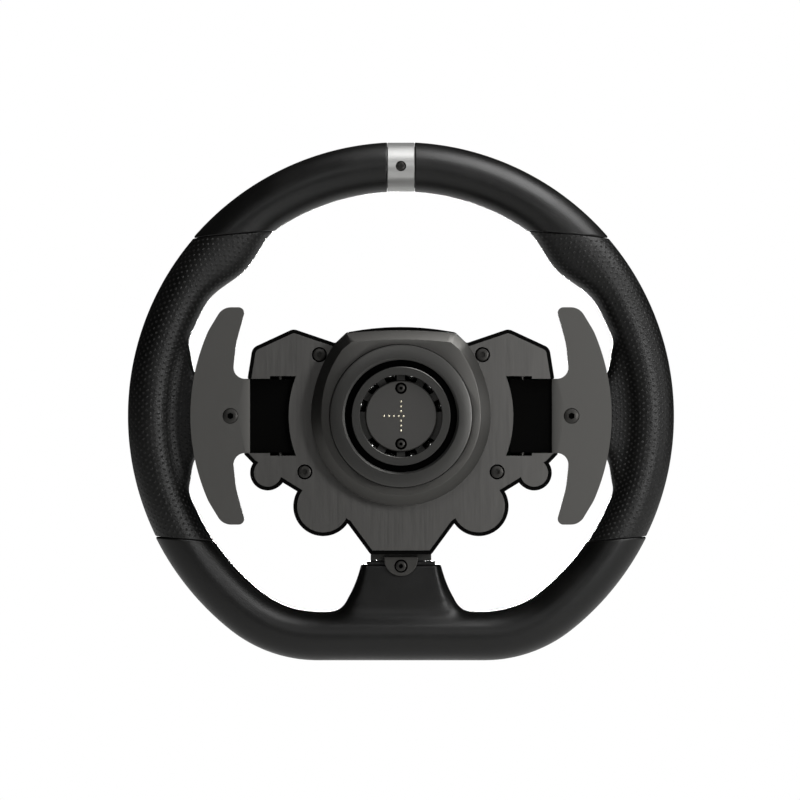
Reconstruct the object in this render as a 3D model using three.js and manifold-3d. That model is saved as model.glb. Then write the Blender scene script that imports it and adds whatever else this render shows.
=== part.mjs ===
// A detachable, D-shaped racing wheel for a driving simulator, in millimetres, +Z up.
//
// The origin is on the spin axis, at the rear face of the quick-release sleeve. The spin axis is Y:
// the rear of the wheel, with the quick release and the paddles, faces -Y, and the driver is at +Y.
// "right" is +X and "left" is -X, as seen from the rear. Every piece is a solid of its own, and
// neighbours keep a gap of 0.3 mm.

import * as THREE from 'three';
import { mergeVertices } from 'three/addons/utils/BufferGeometryUtils.js';
import Module from 'manifold-3d';

const wasm = await Module();
wasm.setup();

const GAP = 0.3;

// Rim: a D of oval tube, a circle about the spin axis with a flat bottom and two round corners
const RIM_RADIUS = 145;
const RIM_FLAT_Z = -129.5;
const RIM_CORNER_RADIUS = 74;
const RIM_HALF_WIDTH = 13.15;
const RIM_HALF_DEPTH = 15.5;
const RIM_Y = 44;
const RIM_STATIONS = 50;
const LEATHER = 2;
const THUMB_REST = { angle: 43.3, halfSpan: 14, height: 6.2 };
const FLARE_HALF_DEPTH = 9;
const BAND_HALF_WIDTH = 7.25;
const UPPER_SEAM = { x: 88.4, z: 96, slope: -0.067 };
const LOWER_SEAM = { x: 113.8, z: -65.1, slope: 0.058 };

// Armature: a cast ring, a hub disc and three spokes in one plane
const RING_RADIUS = 6.5;
const CORE_Y = [40, 48];
const HUB_RADIUS = 42;
const SIDE_SPOKE_HALF = 11;
const LOWER_SPOKE_HALF = 12;

// Hub: brushed rear plate, tray-shaped body and front bezel
const PLATE_Y = [24, 26.5];
const BODY_Y = [24.5, 56];
const BODY_FLOOR_Y = 53.5;
const BEZEL_Y = [56.3, 59];
const PLATE_INSET = 2;
const BODY_WALL = 3.2;
const SMALL_LOBE = { x: 70.2, z: -30, r: 9.3 };
const LARGE_LOBE = { x: 41, z: -47.6, r: 15.75 };
const BOARD_Y = [50, 51.6];

// Neck under the hub, where the lower spoke comes out, and the round lug screwed on to it
const NECK = { halfWidth: 16, top: -72, bottom: -76.4, rear: 35 };
const LUG = { radius: 8.9, top: -74.3, centre: -75.6, y: [31.7, 34.7], screwZ: -79.3 };

// Quick release, round the spin axis
const BOSS_RADIUS = 47.3;
const BOSS_Y = [10, 15.5, 23.7];
const BOSS_CHAMFER = 5.4;
const SLEEVE_BORE = 21.6;
const SLEEVE_RADIUS = 25.9;
const SOCKET_FLOOR_Y = 8;
const SLEEVE_FLANGE_RADIUS = 38;
const COLLAR_RADII = [29.3, 37.5];
const COLLAR_Y = [2, 12];
const CAM_RADIUS = 26.2;
const CONTACT_RADIUS = 18.6;
const BALL = { count: 12, first: 15, missing: [6, 11], radius: 3.1, orbit: 22.6, y: 6.5 };
const PIN_PITCH = 2.54;
const CONTACT_SCREWS = [14.6, -14.6];

// Paddles: flat plates on black arms that turn on upright hinge pins
const PADDLE_RADIUS = 111;
const PADDLE_TOP_Z = 57.3;
const PADDLE_Y = [24.3, 27];
const ARM_REAR_Y = 27.3;
const ARM_HALF_HEIGHT = 19.2;
const HINGE = { x: 64, y: 32, pinRadius: 1.5 };
const NOTCH_RADIUS = 59.2;
const PADDLE_SCREW_X = 89.9;

// Fasteners and front controls, right-hand ones; the left-hand ones mirror them
const PLATE_SCREWS = [[43, 32.3], [50.7, -29.5]];
const BUTTONS = { upper: [56, 33], outer: [70.5, 30], lower: [70.2, -30] };
const BUTTON_RADIUS = 5.5;
const DIAL_RADIUS = 12.5;
const CONTROLS = Object.values(BUTTONS);
const DIALS = [[LARGE_LOBE.x, LARGE_LOBE.z]];

const rad = THREE.MathUtils.degToRad;

// Materials

function finish(color, roughness, metalness) {
  return new THREE.MeshStandardMaterial({ color, roughness, metalness });
}

const finishes = {
  leather: () => finish('#1b1a19', 0.45, 0),
  perforated: () => finish('#151515', 0.6, 0),
  foam: () => finish('#2c2b2a', 0.9, 0),
  brushed: () => finish('#56524e', 0.4, 0.9),
  anodised: () => finish('#44423f', 0.42, 0.85),
  silver: () => finish('#b4b2ae', 0.35, 0.9),
  steel: () => finish('#8a8986', 0.25, 1),
  blackSteel: () => finish('#1c1b1a', 0.4, 0.8),
  blackPlastic: () => finish('#0d0d0d', 0.55, 0),
  glossPlastic: () => finish('#101010', 0.2, 0),
  casting: () => finish('#77756f', 0.6, 0.9),
  gold: () => finish('#c9b37a', 0.3, 1),
  board: () => finish('#12301f', 0.6, 0),
};

// Solids: joined, cut and turned back into geometry

// The merged triangles of a geometry, with any that have collapsed on the axis left out and all
// of them turned to face outward.
function solid(geometry) {
  const bare = geometry.clone();
  bare.deleteAttribute('normal');
  bare.deleteAttribute('uv');
  const merged = mergeVertices(bare, 1e-4);
  const position = merged.attributes.position;
  const corner = [new THREE.Vector3(), new THREE.Vector3(), new THREE.Vector3()];
  const triangles = [];
  let volume = 0;
  for (let i = 0; i < merged.index.count; i += 3) {
    const [a, b, c] = [0, 1, 2].map((k) => merged.index.getX(i + k));
    if (a === b || b === c || c === a) continue;
    triangles.push([a, b, c]);
    [a, b, c].forEach((index, k) => corner[k].fromBufferAttribute(position, index));
    volume += corner[0].dot(corner[1].cross(corner[2]));
  }
  if (volume < 0) triangles.forEach((triangle) => triangle.reverse());
  const mesh = new wasm.Mesh({
    numProp: 3,
    vertProperties: new Float32Array(position.array),
    triVerts: new Uint32Array(triangles.flat()),
  });
  return new wasm.Manifold(mesh);
}

function cut(body, ...tools) {
  return tools.reduce((rest, tool) => rest.subtract(tool), body);
}

function join(body, ...others) {
  return others.reduce((whole, other) => whole.add(other), body);
}

function geometryOf(body) {
  const mesh = body.getMesh();
  const geometry = new THREE.BufferGeometry();
  geometry.setAttribute('position', new THREE.BufferAttribute(mesh.vertProperties, 3));
  geometry.setIndex(new THREE.BufferAttribute(mesh.triVerts, 1));
  geometry.computeVertexNormals();
  return geometry;
}

// Basic shapes in place. An outline is drawn in X and Z and stands from y0 to y1.

function slab(outline, [y0, y1], curveSegments = 12) {
  const geometry = new THREE.ExtrudeGeometry(outline, {
    depth: y1 - y0, steps: 1, bevelEnabled: false, curveSegments,
  });
  geometry.rotateX(Math.PI / 2);
  geometry.translate(0, y1, 0);
  return solid(geometry);
}

function block([x0, x1], [y0, y1], [z0, z1]) {
  const geometry = new THREE.BoxGeometry(Math.abs(x1 - x0), y1 - y0, z1 - z0);
  geometry.translate((x0 + x1) / 2, (y0 + y1) / 2, (z0 + z1) / 2);
  return solid(geometry);
}

function peg(x, z, radius, [y0, y1], sides = 24) {
  const geometry = new THREE.CylinderGeometry(radius, radius, y1 - y0, sides);
  geometry.translate(x, (y0 + y1) / 2, z);
  return solid(geometry);
}

// A solid of revolution about an axis along Y, from a profile of [radius, y] points.
function turned(profile, sides, x = 0, z = 0) {
  const points = profile.map(([r, y]) => new THREE.Vector2(r, y));
  const geometry = new THREE.LatheGeometry([...points, points[0].clone()], sides);
  geometry.translate(x, 0, z);
  return solid(geometry);
}

// An outline through [x, z, fillet radius] corners. A corner of radius 0 stays sharp.
function filleted(corners) {
  const outline = new THREE.Shape();
  corners.forEach(([x, z, radius], i) => {
    const here = new THREE.Vector2(x, z);
    const before = new THREE.Vector2(...corners.at(i - 1)).sub(here).normalize();
    const after = new THREE.Vector2(...corners[(i + 1) % corners.length]).sub(here).normalize();
    const halfAngle = Math.acos(THREE.MathUtils.clamp(before.dot(after), -1, 1)) / 2;
    const reach = radius / Math.tan(halfAngle);
    const start = here.clone().addScaledVector(before, reach);
    const end = here.clone().addScaledVector(after, reach);
    if (i === 0) outline.moveTo(start.x, start.y);
    else outline.lineTo(start.x, start.y);
    if (radius > 0) outline.quadraticCurveTo(x, z, end.x, end.y);
  });
  outline.closePath();
  return outline;
}

// The same corners moved in by a distance, each along the mitre of its two sides.
function insetCorners(corners, distance) {
  const turn = Math.sign(THREE.ShapeUtils.area(corners.map(([x, z]) => new THREE.Vector2(x, z))));
  return corners.map(([x, z, radius], i) => {
    const before = corners.at(i - 1);
    const after = corners[(i + 1) % corners.length];
    const into = new THREE.Vector2(x - before[0], z - before[1]).normalize();
    const out = new THREE.Vector2(after[0] - x, after[1] - z).normalize();
    const inward = new THREE.Vector2(-into.y - out.y, into.x + out.x).normalize().multiplyScalar(turn);
    const mitre = distance / Math.max(0.3, Math.abs(inward.x * -into.y + inward.y * into.x));
    const bend = into.cross(out) * turn > 0 ? -distance : distance;
    return [x + inward.x * mitre, z + inward.y * mitre, Math.max(0, radius > 0 ? radius + bend : 0)];
  });
}

function mirrored(rightHalf) {
  const leftHalf = rightHalf.filter(([x]) => x > 0).reverse().map(([x, ...rest]) => [-x, ...rest]);
  return [...rightHalf, ...leftHalf];
}

// What make gives for each of some right-hand places and their left-hand mirror images.
function eachSide(places, make) {
  return [1, -1].flatMap((side) => places.flatMap(([x, z]) => make(x * side, z)));
}

function circle(x, z, radius) {
  return new THREE.Shape().absarc(x, z, radius, 0, 2 * Math.PI, false);
}

// Rim

// Stations along the tube's centre line, clockwise from twelve o'clock, with the outward direction.
function rimStations() {
  const radius = RIM_RADIUS - RIM_HALF_WIDTH;
  const cornerRadius = RIM_CORNER_RADIUS - RIM_HALF_WIDTH;
  const cornerZ = RIM_FLAT_Z + RIM_CORNER_RADIUS;
  const cornerX = Math.sqrt((RIM_RADIUS - RIM_CORNER_RADIUS) ** 2 - cornerZ ** 2);
  const meet = Math.atan2(cornerZ, cornerX);
  const path = new THREE.Path();
  path.absarc(0, 0, radius, Math.PI / 2, meet, true);
  path.absarc(cornerX, cornerZ, cornerRadius, meet, -Math.PI / 2, true);
  path.absarc(-cornerX, cornerZ, cornerRadius, -Math.PI / 2, -Math.PI - meet, true);
  path.absarc(0, 0, radius, -Math.PI - meet, -1.5 * Math.PI, true);
  return Array.from({ length: RIM_STATIONS }, (_, i) => {
    const point = path.getPointAt(i / RIM_STATIONS);
    const tangent = path.getTangentAt(i / RIM_STATIONS);
    return { point, outward: new THREE.Vector2(-tangent.y, tangent.x) };
  });
}

// How far the thumb rests swell into the ring, at ten and two o'clock.
function thumbRest(point) {
  const angle = THREE.MathUtils.radToDeg(Math.atan2(point.y, Math.abs(point.x)));
  const offset = (angle - THUMB_REST.angle) / THUMB_REST.halfSpan;
  return Math.abs(offset) < 1 ? THUMB_REST.height * Math.cos(offset * Math.PI / 2) ** 2 : 0;
}

// The closed tube of the rim, at a given depth below its outer surface.
function rimTube(depth, sides, swell = thumbRest) {
  const stations = rimStations();
  const positions = [];
  const indices = [];
  stations.forEach(({ point, outward }, i) => {
    for (let k = 0; k < sides; k += 1) {
      const angle = 2 * Math.PI * k / sides;
      const inner = Math.cos(angle) < 0 ? swell(point) : 0;
      const across = (RIM_HALF_WIDTH - depth + inner) * Math.cos(angle);
      const along = (RIM_HALF_DEPTH - depth) * Math.sin(angle);
      positions.push(point.x + outward.x * across, RIM_Y + along, point.y + outward.y * across);
      const next = (i + 1) % stations.length;
      const up = (k + 1) % sides;
      const [a, b, c, d] = [i * sides + k, next * sides + k, next * sides + up, i * sides + up];
      indices.push(a, b, c, a, c, d);
    }
  });
  const geometry = new THREE.BufferGeometry();
  geometry.setAttribute('position', new THREE.Float32BufferAttribute(positions, 3));
  geometry.setIndex(indices);
  return solid(geometry);
}

// The leather of a side spoke spreads into the tube with a round fillet above and below.
function sideFlare(side) {
  const outline = new THREE.Shape();
  outline.moveTo(91 * side, 17);
  outline.lineTo(99 * side, 17.2);
  outline.quadraticCurveTo(109.4 * side, 18.2, 110.2 * side, 28);
  outline.lineTo(111.6 * side, 40);
  outline.lineTo(124 * side, 40);
  outline.lineTo(124 * side, -40);
  outline.lineTo(111.6 * side, -40);
  outline.lineTo(110.2 * side, -28);
  outline.quadraticCurveTo(109.4 * side, -18.2, 99 * side, -17.2);
  outline.lineTo(91 * side, -17);
  outline.closePath();
  return slab(outline, [RIM_Y - FLARE_HALF_DEPTH, RIM_Y + FLARE_HALF_DEPTH], 6);
}

function lowerFlare() {
  const outline = new THREE.Shape();
  outline.moveTo(-21, -78.4);
  outline.lineTo(21, -78.4);
  outline.quadraticCurveTo(25, -95, 34, -104.4);
  outline.lineTo(34, -114);
  outline.lineTo(-34, -114);
  outline.lineTo(-34, -104.4);
  outline.quadraticCurveTo(-25, -95, -21, -78.4);
  outline.closePath();
  const y = [RIM_Y - FLARE_HALF_DEPTH, RIM_Y + FLARE_HALF_DEPTH];
  return join(slab(outline, y, 6), block([-18, 18], [y[0] + 1, y[1] - 1], [-79, -76.7]));
}

function armature(grow = 0) {
  const y = [CORE_Y[0] - grow, CORE_Y[1] + grow];
  const side = SIDE_SPOKE_HALF + grow;
  const lower = LOWER_SPOKE_HALF + grow;
  const noSwell = () => 0;
  const depth = RIM_HALF_WIDTH - RING_RADIUS - grow;
  const tube = rimTube(depth, 8, noSwell);
  return join(
    tube,
    peg(0, 0, HUB_RADIUS + grow, y, 48),
    block([-129, 129], y, [-side, side]),
    block([-lower, lower], y, [-113, 0]),
  );
}

// The zone of one leather grip, between the two nearly level seams.
function gripZone(side, gap) {
  const upper = (x) => UPPER_SEAM.z + UPPER_SEAM.slope * (x - UPPER_SEAM.x) + gap;
  const lower = (x) => LOWER_SEAM.z + LOWER_SEAM.slope * (x - LOWER_SEAM.x) - gap;
  const corners = [[60, upper(60), 0], [160, upper(160), 0], [160, lower(160), 0], [60, lower(60), 0]];
  return slab(filleted(corners.map(([x, z, r]) => [x * side, z, r])), [0, 90]);
}

function rimPieces() {
  const screwY = RIM_Y - RIM_HALF_DEPTH;
  const bandHole = peg(0, RIM_RADIUS - RIM_HALF_WIDTH, 2.7, [0, screwY + 5], 12);
  const foamHole = peg(0, RIM_RADIUS - RIM_HALF_WIDTH, 1.5, [0, RIM_Y - RING_RADIUS + 3], 12);
  const lugHole = peg(0, LUG.screwZ, 2, [0, CORE_Y[0] + 6], 12);
  const inside = rimTube(LEATHER, 8);
  const cover = cut(
    join(rimTube(0, 16), sideFlare(1), sideFlare(-1), lowerFlare()),
    inside,
    armature(GAP),
    lugHole,
  );
  const seamed = cut(cover, gripZone(1, GAP), gripZone(-1, GAP));
  const top = (x0, x1) => seamed.intersect(block([x0, x1], [0, 90], [0, 160]));
  const bandZone = block([-BAND_HALF_WIDTH, BAND_HALF_WIDTH], [0, 90], [100, 160]);
  return {
    armature: cut(armature(), lugHole, foamHole),
    foam: cut(rimTube(LEATHER + GAP, 8), armature(GAP), foamHole),
    topRight: top(BAND_HALF_WIDTH + GAP, 160),
    topLeft: top(-160, -BAND_HALF_WIDTH - GAP),
    gripRight: cover.intersect(gripZone(1, 0)),
    gripLeft: cover.intersect(gripZone(-1, 0)),
    bottom: seamed.intersect(block([-160, 160], [0, 90], [-160, 0])),
    band: cut(rimTube(GAP, 16), inside, bandHole).intersect(bandZone),
  };
}

// Hub

// The outline of the hub, less an inset: a crowned top, an upper lobe each side, a straight flank,
// a small and a large round lobe each side, and a wedge below.
const HUB_CORNERS = mirrored([
  [0, 46.9, 0], [15, 46.1, 0], [28.6, 44.1, 3], [34.6, 38.4, 1.5],
  [56.7, 45.9, 5], [78.3, 35.9, 5], [80.9, 19.4, 0], [83, -19.8, 1.5],
  [78, -25, 1], [70.2, -30, 0], [61.5, -35.6, 1], [54.3, -40, 1],
  [41, -47.6, 0], [28, -56.8, 1], [16.1, -72.9, 1.5],
]);

function hub(inset, y, lobeSegments = 12) {
  const lobes = [SMALL_LOBE, LARGE_LOBE].flatMap(({ x, z, r }) => (
    [-x, x].map((side) => slab(circle(side, z, r - inset), y, lobeSegments))
  ));
  return join(slab(filleted(insetCorners(HUB_CORNERS, inset)), y, lobeSegments > 8 ? 3 : 1), ...lobes);
}

// The stepped boss of the quick release: a circle below, swelling to a crowned top with two
// bevelled corners. It is given as an even ring of points, so that two of them can be joined.
function bossOutline(inset) {
  const radius = BOSS_RADIUS - inset;
  const outline = new THREE.Shape();
  const [shoulderX, shoulderZ] = [34.7 - 0.72 * inset, 38.2 - 0.62 * inset];
  const [cornerX, topZ] = [28.6 - 0.45 * inset, 43.6 - 0.9 * inset];
  outline.absarc(0, 0, radius, 0, -Math.PI, true);
  outline.bezierCurveTo(-radius, 15, -shoulderX - 6.5, shoulderZ - 9, -shoulderX, shoulderZ);
  outline.lineTo(-cornerX, topZ);
  outline.quadraticCurveTo(0, topZ + 3, cornerX, topZ);
  outline.lineTo(shoulderX, shoulderZ);
  outline.bezierCurveTo(shoulderX + 6.5, shoulderZ - 9, radius, 15, radius, 0);
  return outline;
}

function boss() {
  const levels = [[BOSS_CHAMFER, BOSS_Y[0]], [0, BOSS_Y[1]], [0, BOSS_Y[2]]];
  const outlines = levels.map(([inset]) => bossOutline(inset).extractPoints(9).shape);
  const count = outlines[0].length - 1;
  const positions = [];
  const indices = [];
  levels.forEach(([, y], level) => {
    for (let i = 0; i < count; i += 1) {
      positions.push(outlines[level][i].x, y, outlines[level][i].y);
      if (level === 0) continue;
      const next = (i + 1) % count;
      const [low, high] = [(level - 1) * count, level * count];
      indices.push(low + i, low + next, high + next, low + i, high + next, high + i);
    }
  });
  const last = (levels.length - 1) * count;
  THREE.ShapeUtils.triangulateShape(outlines[0].slice(0, count), []).forEach(([a, b, c]) => {
    indices.push(a, b, c);
    indices.push(last + a, last + c, last + b);
  });
  const geometry = new THREE.BufferGeometry();
  geometry.setAttribute('position', new THREE.Float32BufferAttribute(positions, 3));
  geometry.setIndex(indices);
  return cut(
    solid(geometry),
    peg(0, 0, COLLAR_RADII[1] + GAP, [0, BOSS_Y[2] - 2.2], 48),
    peg(0, 0, SLEEVE_RADIUS + GAP, [0, BOSS_Y[2] + 1], 48),
  );
}

// The notch in the rear plate for a paddle's arm, with a small step in its long sides.
function armNotch(side, y) {
  const wide = block([0, 69 * side], y, [-21, 21]);
  const narrow = block([68 * side, 100 * side], y, [-19.6, 19.6]);
  return cut(join(wide, narrow), peg(0, 0, NOTCH_RADIUS, [y[0] - 1, y[1] + 1], 96));
}

function rearPlate() {
  const y = PLATE_Y;
  const through = [y[0] - 1, y[1] + 1];
  const screwHoles = eachSide(PLATE_SCREWS, (x, z) => [
    peg(x, z, 2.2, through, 16),
    peg(x, z, 4, [y[0] - 1, y[0] + 1.5], 18),
  ]);
  const notches = [1, -1].map((side) => armNotch(side, through));
  return cut(hub(PLATE_INSET, y), peg(0, 0, SLEEVE_RADIUS + GAP, through, 48), ...notches, ...screwHoles);
}

// Walls that hold the hinge pins, above and below each paddle's arm.
function hingeCheeks(y, grow = 0) {
  return [1, -1].flatMap((side) => [22.7, -22.7].map((z) => {
    const x = [(59 - grow) * side, (69 + grow) * side];
    return block(x, y, [z - 2.4 - grow, z + 2.4 + grow]);
  }));
}

function hubBody() {
  const { halfWidth, top, bottom, rear } = NECK;
  const inside = [PLATE_Y[1] + GAP, BODY_FLOOR_Y + 1];
  const spokeY = [CORE_Y[0] - 0.6, CORE_Y[1] + 0.6];
  const sideHalf = SIDE_SPOKE_HALF + 0.6;
  const lowerHalf = LOWER_SPOKE_HALF + 0.6;
  const shell = cut(
    hub(0, BODY_Y),
    hub(PLATE_INSET - GAP, [BODY_Y[0] - 1, PLATE_Y[1] + GAP]),
    hub(BODY_WALL, [PLATE_Y[1], BODY_FLOOR_Y], 5),
  );
  const neck = block([-halfWidth, halfWidth], [rear, BODY_FLOOR_Y], [bottom, top]);
  const bosses = eachSide(PLATE_SCREWS, (x, z) => peg(x, z, 3.8, inside, 16));
  const armOpenings = [1, -1].map((side) => block([72 * side, 90 * side], [20, spokeY[0]], [-20, 20]));
  const spokeOpenings = [1, -1].map((side) => block([72 * side, 90 * side], spokeY, [-sideHalf, sideHalf]));
  return cut(
    join(shell, neck, ...hingeCheeks([28, BODY_FLOOR_Y + 1]), ...bosses),
    ...armOpenings,
    ...spokeOpenings,
    hingeBore(1, HINGE.pinRadius + GAP),
    hingeBore(-1, HINGE.pinRadius + GAP),
    block([-lowerHalf, lowerHalf], spokeY, [-80, -60]),
    ...eachSide(CONTROLS, (x, z) => peg(x, z, 2.8, [50, 60], 12)),
    ...eachSide(DIALS, (x, z) => peg(x, z, 4, [50, 60], 16)),
    ...eachSide(PLATE_SCREWS, (x, z) => peg(x, z, 1.6, [20, 44], 12)),
  );
}

// A bore or a pin along a paddle's hinge axis.
function hingeBore(side, radius, length = 60) {
  const geometry = new THREE.CylinderGeometry(radius, radius, length, 16);
  geometry.rotateX(Math.PI / 2);
  geometry.translate(HINGE.x * side, HINGE.y, 0);
  return solid(geometry);
}

function frontBezel() {
  const through = [BEZEL_Y[0] - 1, BEZEL_Y[1] + 1];
  return cut(
    hub(0.6, BEZEL_Y, 8),
    peg(0, 0, 16, through, 20),
    ...eachSide(CONTROLS, (x, z) => peg(x, z, BUTTON_RADIUS + GAP, through, 16)),
    ...eachSide(DIALS, (x, z) => peg(x, z, 4, through, 16)),
  );
}

// A round button: a cap in the bezel and a stem through the floor of the body.
function button() {
  const cap = turned([
    [0, 1.3], [BUTTON_RADIUS, 1.3], [BUTTON_RADIUS, 6.4], [BUTTON_RADIUS - 0.6, 7], [0, 7],
  ], 14);
  return join(cap, peg(0, 0, 2.2, [-2.9, 2], 8));
}

function dial() {
  const grips = Array.from({ length: 9 }, (_, i) => {
    const angle = rad(40 * i);
    return peg(DIAL_RADIUS * Math.cos(angle), DIAL_RADIUS * Math.sin(angle), 1.3, [1, 12], 6);
  });
  const knob = turned([
    [0, 0.6], [DIAL_RADIUS, 0.6], [DIAL_RADIUS, 8.4], [DIAL_RADIUS - 1.2, 9.6], [0, 9.6],
  ], 27);
  return join(cut(knob, ...grips), peg(0, 0, 3, [-12, 1], 16));
}

function encoder() {
  return cut(block([-6, 6], [-6.6, 0], [-6, 6]), peg(0, 0, 3.3, [-4.6, 1], 16));
}

// The circuit board, with a switch under each button.
function mainBoard() {
  const clear = [BOARD_Y[0] - 1, BOARD_Y[1] + 1];
  const switchY = [BOARD_Y[1] - 0.2, 52];
  return cut(
    join(
      hub(BODY_WALL + 0.8, BOARD_Y, 5),
      ...eachSide(CONTROLS, (x, z) => block([x - 2.5, x + 2.5], switchY, [z - 2.5, z + 2.5])),
    ),
    ...hingeCheeks(clear, 0.5),
    ...eachSide(PLATE_SCREWS, (x, z) => peg(x, z, 4.3, clear, 16)),
    ...eachSide(DIALS, (x, z) => peg(x, z, 4, clear, 16)),
  );
}

function lug() {
  const { radius, top, centre, y, screwZ } = LUG;
  const outline = new THREE.Shape();
  outline.moveTo(-radius, top);
  outline.lineTo(radius, top);
  outline.lineTo(radius, centre);
  outline.absarc(0, centre, radius, 0, -Math.PI, true);
  outline.closePath();
  return cut(slab(outline, y), peg(0, screwZ, 2, [y[0] - 1, y[1] + 1], 12));
}

function centreCap() {
  return join(
    turned([[0, BEZEL_Y[1] + GAP], [22, BEZEL_Y[1] + GAP], [22, 61.4], [20, 63], [0, 63.6]], 24),
    peg(0, 0, 15.6, [BEZEL_Y[0] + 0.1, BEZEL_Y[1] + 1], 16),
  );
}

// Quick release

const ballAngles = Array.from({ length: BALL.count }, (_, i) => i)
  .filter((i) => !BALL.missing.includes(i))
  .map((i) => BALL.first + i * 360 / BALL.count);

// The sleeve: a socket for the wheelbase's shaft, cut with a radial hole for each locking ball and
// a slot in the socket's floor below it, on a flange that is bolted to the armature's hub.
function sleeve() {
  const profile = [
    [SLEEVE_BORE, 0], [SLEEVE_RADIUS, 0], [SLEEVE_RADIUS, 30], [SLEEVE_FLANGE_RADIUS, 30],
    [SLEEVE_FLANGE_RADIUS, 39.7], [CONTACT_RADIUS + GAP, 39.7],
    [CONTACT_RADIUS + GAP, SOCKET_FLOOR_Y], [SLEEVE_BORE, SOCKET_FLOOR_Y],
  ];
  const tools = ballAngles.flatMap((angle) => {
    const hole = new THREE.CylinderGeometry(BALL.radius + 0.3, BALL.radius + 0.3, 8, 8);
    hole.rotateZ(Math.PI / 2);
    hole.translate(24, BALL.y, 0);
    hole.rotateY(-rad(angle));
    const slot = new THREE.BoxGeometry(4.5, 10, 6.2);
    slot.translate(20.4, SOCKET_FLOOR_Y + 4, 0);
    slot.rotateY(-rad(angle));
    return [solid(hole), solid(slot)];
  });
  return cut(turned(profile, 40), ...tools);
}

function releaseCollar() {
  const [inner, outer] = COLLAR_RADII;
  const [rear, front] = COLLAR_Y;
  return turned([
    [inner + 0.8, rear], [outer - 1, rear], [outer, rear + 1], [outer, front], [CAM_RADIUS, front],
    [CAM_RADIUS, rear + 3], [inner, rear + 3], [inner, rear + 0.8],
  ], 48);
}

function collarSpring() {
  const turns = 3;
  const [start, end] = [COLLAR_Y[1] + 1.1, BOSS_Y[2] - 3.3];
  const points = Array.from({ length: turns * 16 + 1 }, (_, i) => {
    const angle = 2 * Math.PI * i / 16;
    const y = THREE.MathUtils.lerp(start, end, i / (turns * 16));
    return new THREE.Vector3(32 * Math.cos(angle), y, 32 * Math.sin(angle));
  });
  return solid(new THREE.ExtrudeGeometry(circle(0, 0, 0.7), {
    steps: turns * 16, curveSegments: 2, extrudePath: new THREE.CatmullRomCurve3(points),
  }));
}

// The insulating block that holds the contacts, with a chamfered rim and two screw holes.
function contactBlock() {
  const body = turned([
    [0, 3], [CONTACT_RADIUS - 0.6, 3], [CONTACT_RADIUS, 3.6], [CONTACT_RADIUS, 30], [0, 30],
  ], 40);
  const counterbores = CONTACT_SCREWS.map((z) => peg(0, z, 3.05, [0, 5.4], 14));
  const screwHoles = CONTACT_SCREWS.map((z) => peg(0, z, 1.4, [0, 14], 8));
  const pinHoles = pinPlaces().map(([x, z]) => peg(x, z, 0.85, [0, 10], 6));
  const pocket = block([-12, 8], [8, 32], [-11, 11]);
  return cut(body, pocket, ...counterbores, ...screwHoles, ...pinHoles);
}

// Eleven contacts in a cross: a level row of five, and three above and three below the axis.
function pinPlaces() {
  const row = [-3.5, -2.5, -1.5, -0.5, 0.5].map((step) => [step * PIN_PITCH, 0]);
  const column = [-3, -2, -1, 1, 2, 3].map((step) => [0, step * PIN_PITCH]);
  return [...row, ...column];
}

// The contact pins stand on one small board inside the block.
function contactPins() {
  const carrier = block([-11.7, 7.7], [9, 10.6], [-10.7, 10.7]);
  return join(carrier, ...pinPlaces().map(([x, z]) => peg(x, z, 0.55, [2.7, 9.5], 6)));
}

// Paddles

// A crescent plate: its outer edge runs round the spin axis, and its wings reach past the arm.
function paddlePlate(side) {
  const upper = [
    [79.6, 19.6, 0], [88.9, 19.6, 6], [87, 38, 20], [81.7, PADDLE_TOP_Z, 3], [94, PADDLE_TOP_Z, 8],
    [103, 42.5, 0], [120, 20, 0],
  ];
  const lower = upper.map(([x, z, r]) => [x, -z, r]).reverse();
  const outline = filleted([...upper, ...lower].map(([x, z, r]) => [x * side, z, r]));
  const [y0, y1] = PADDLE_Y;
  const sink = [[0, y0 - 1], [4.2, y0 - 1], [4.2, y0 + 0.2], [2, y1 - 0.2], [2, y1 + 1], [0, y1 + 1]];
  return cut(
    slab(outline, PADDLE_Y, 5).intersect(peg(0, 0, PADDLE_RADIUS, [y0 - 1, y1 + 1], 120)),
    turned(sink, 16, PADDLE_SCREW_X * side),
  );
}

// The arm under the paddle: a thick middle on the hinge, a thin outer end that carries the plate,
// and a short tail that a magnet holds at rest.
function paddleArm(side) {
  const [thick, thin] = [36, 30.8];
  const height = [-ARM_HALF_HEIGHT, ARM_HALF_HEIGHT];
  const middle = block([57.5 * side, 78 * side], [ARM_REAR_Y, thick], height);
  const outer = block([77 * side, 98 * side], [ARM_REAR_Y, thin], height);
  const tail = block([50 * side, 58 * side], [ARM_REAR_Y + 1.5, thick - 0.2], [-12, 12]);
  return cut(
    join(middle, outer, tail),
    hingeBore(side, HINGE.pinRadius + GAP),
    peg(PADDLE_SCREW_X * side, 0, 2, [ARM_REAR_Y - 1, thin + 1], 16),
  );
}

// Fasteners, each with the rear face of its head at its own origin and its shank along +Y

function capScrew(headRadius, headHeight, shankRadius, length) {
  const profile = [
    [0, 0], [headRadius, 0], [headRadius, headHeight], [shankRadius, headHeight],
    [shankRadius, length], [0, length],
  ];
  return cut(turned(profile, 12), peg(0, 0, headRadius * 0.48, [-1, headHeight * 0.6], 6));
}

function crossScrew(headRadius, headHeight, shankRadius, length) {
  const profile = [
    [0, 0], [headRadius, 0.3], [headRadius, headHeight], [shankRadius, headHeight],
    [shankRadius, length], [0, length],
  ];
  const long = [-headRadius * 0.62, headRadius * 0.62];
  const narrow = [-headRadius * 0.14, headRadius * 0.14];
  const depth = [-1, headHeight * 0.6];
  return cut(turned(profile, 12), block(long, depth, narrow), block(narrow, depth, long));
}

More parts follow.
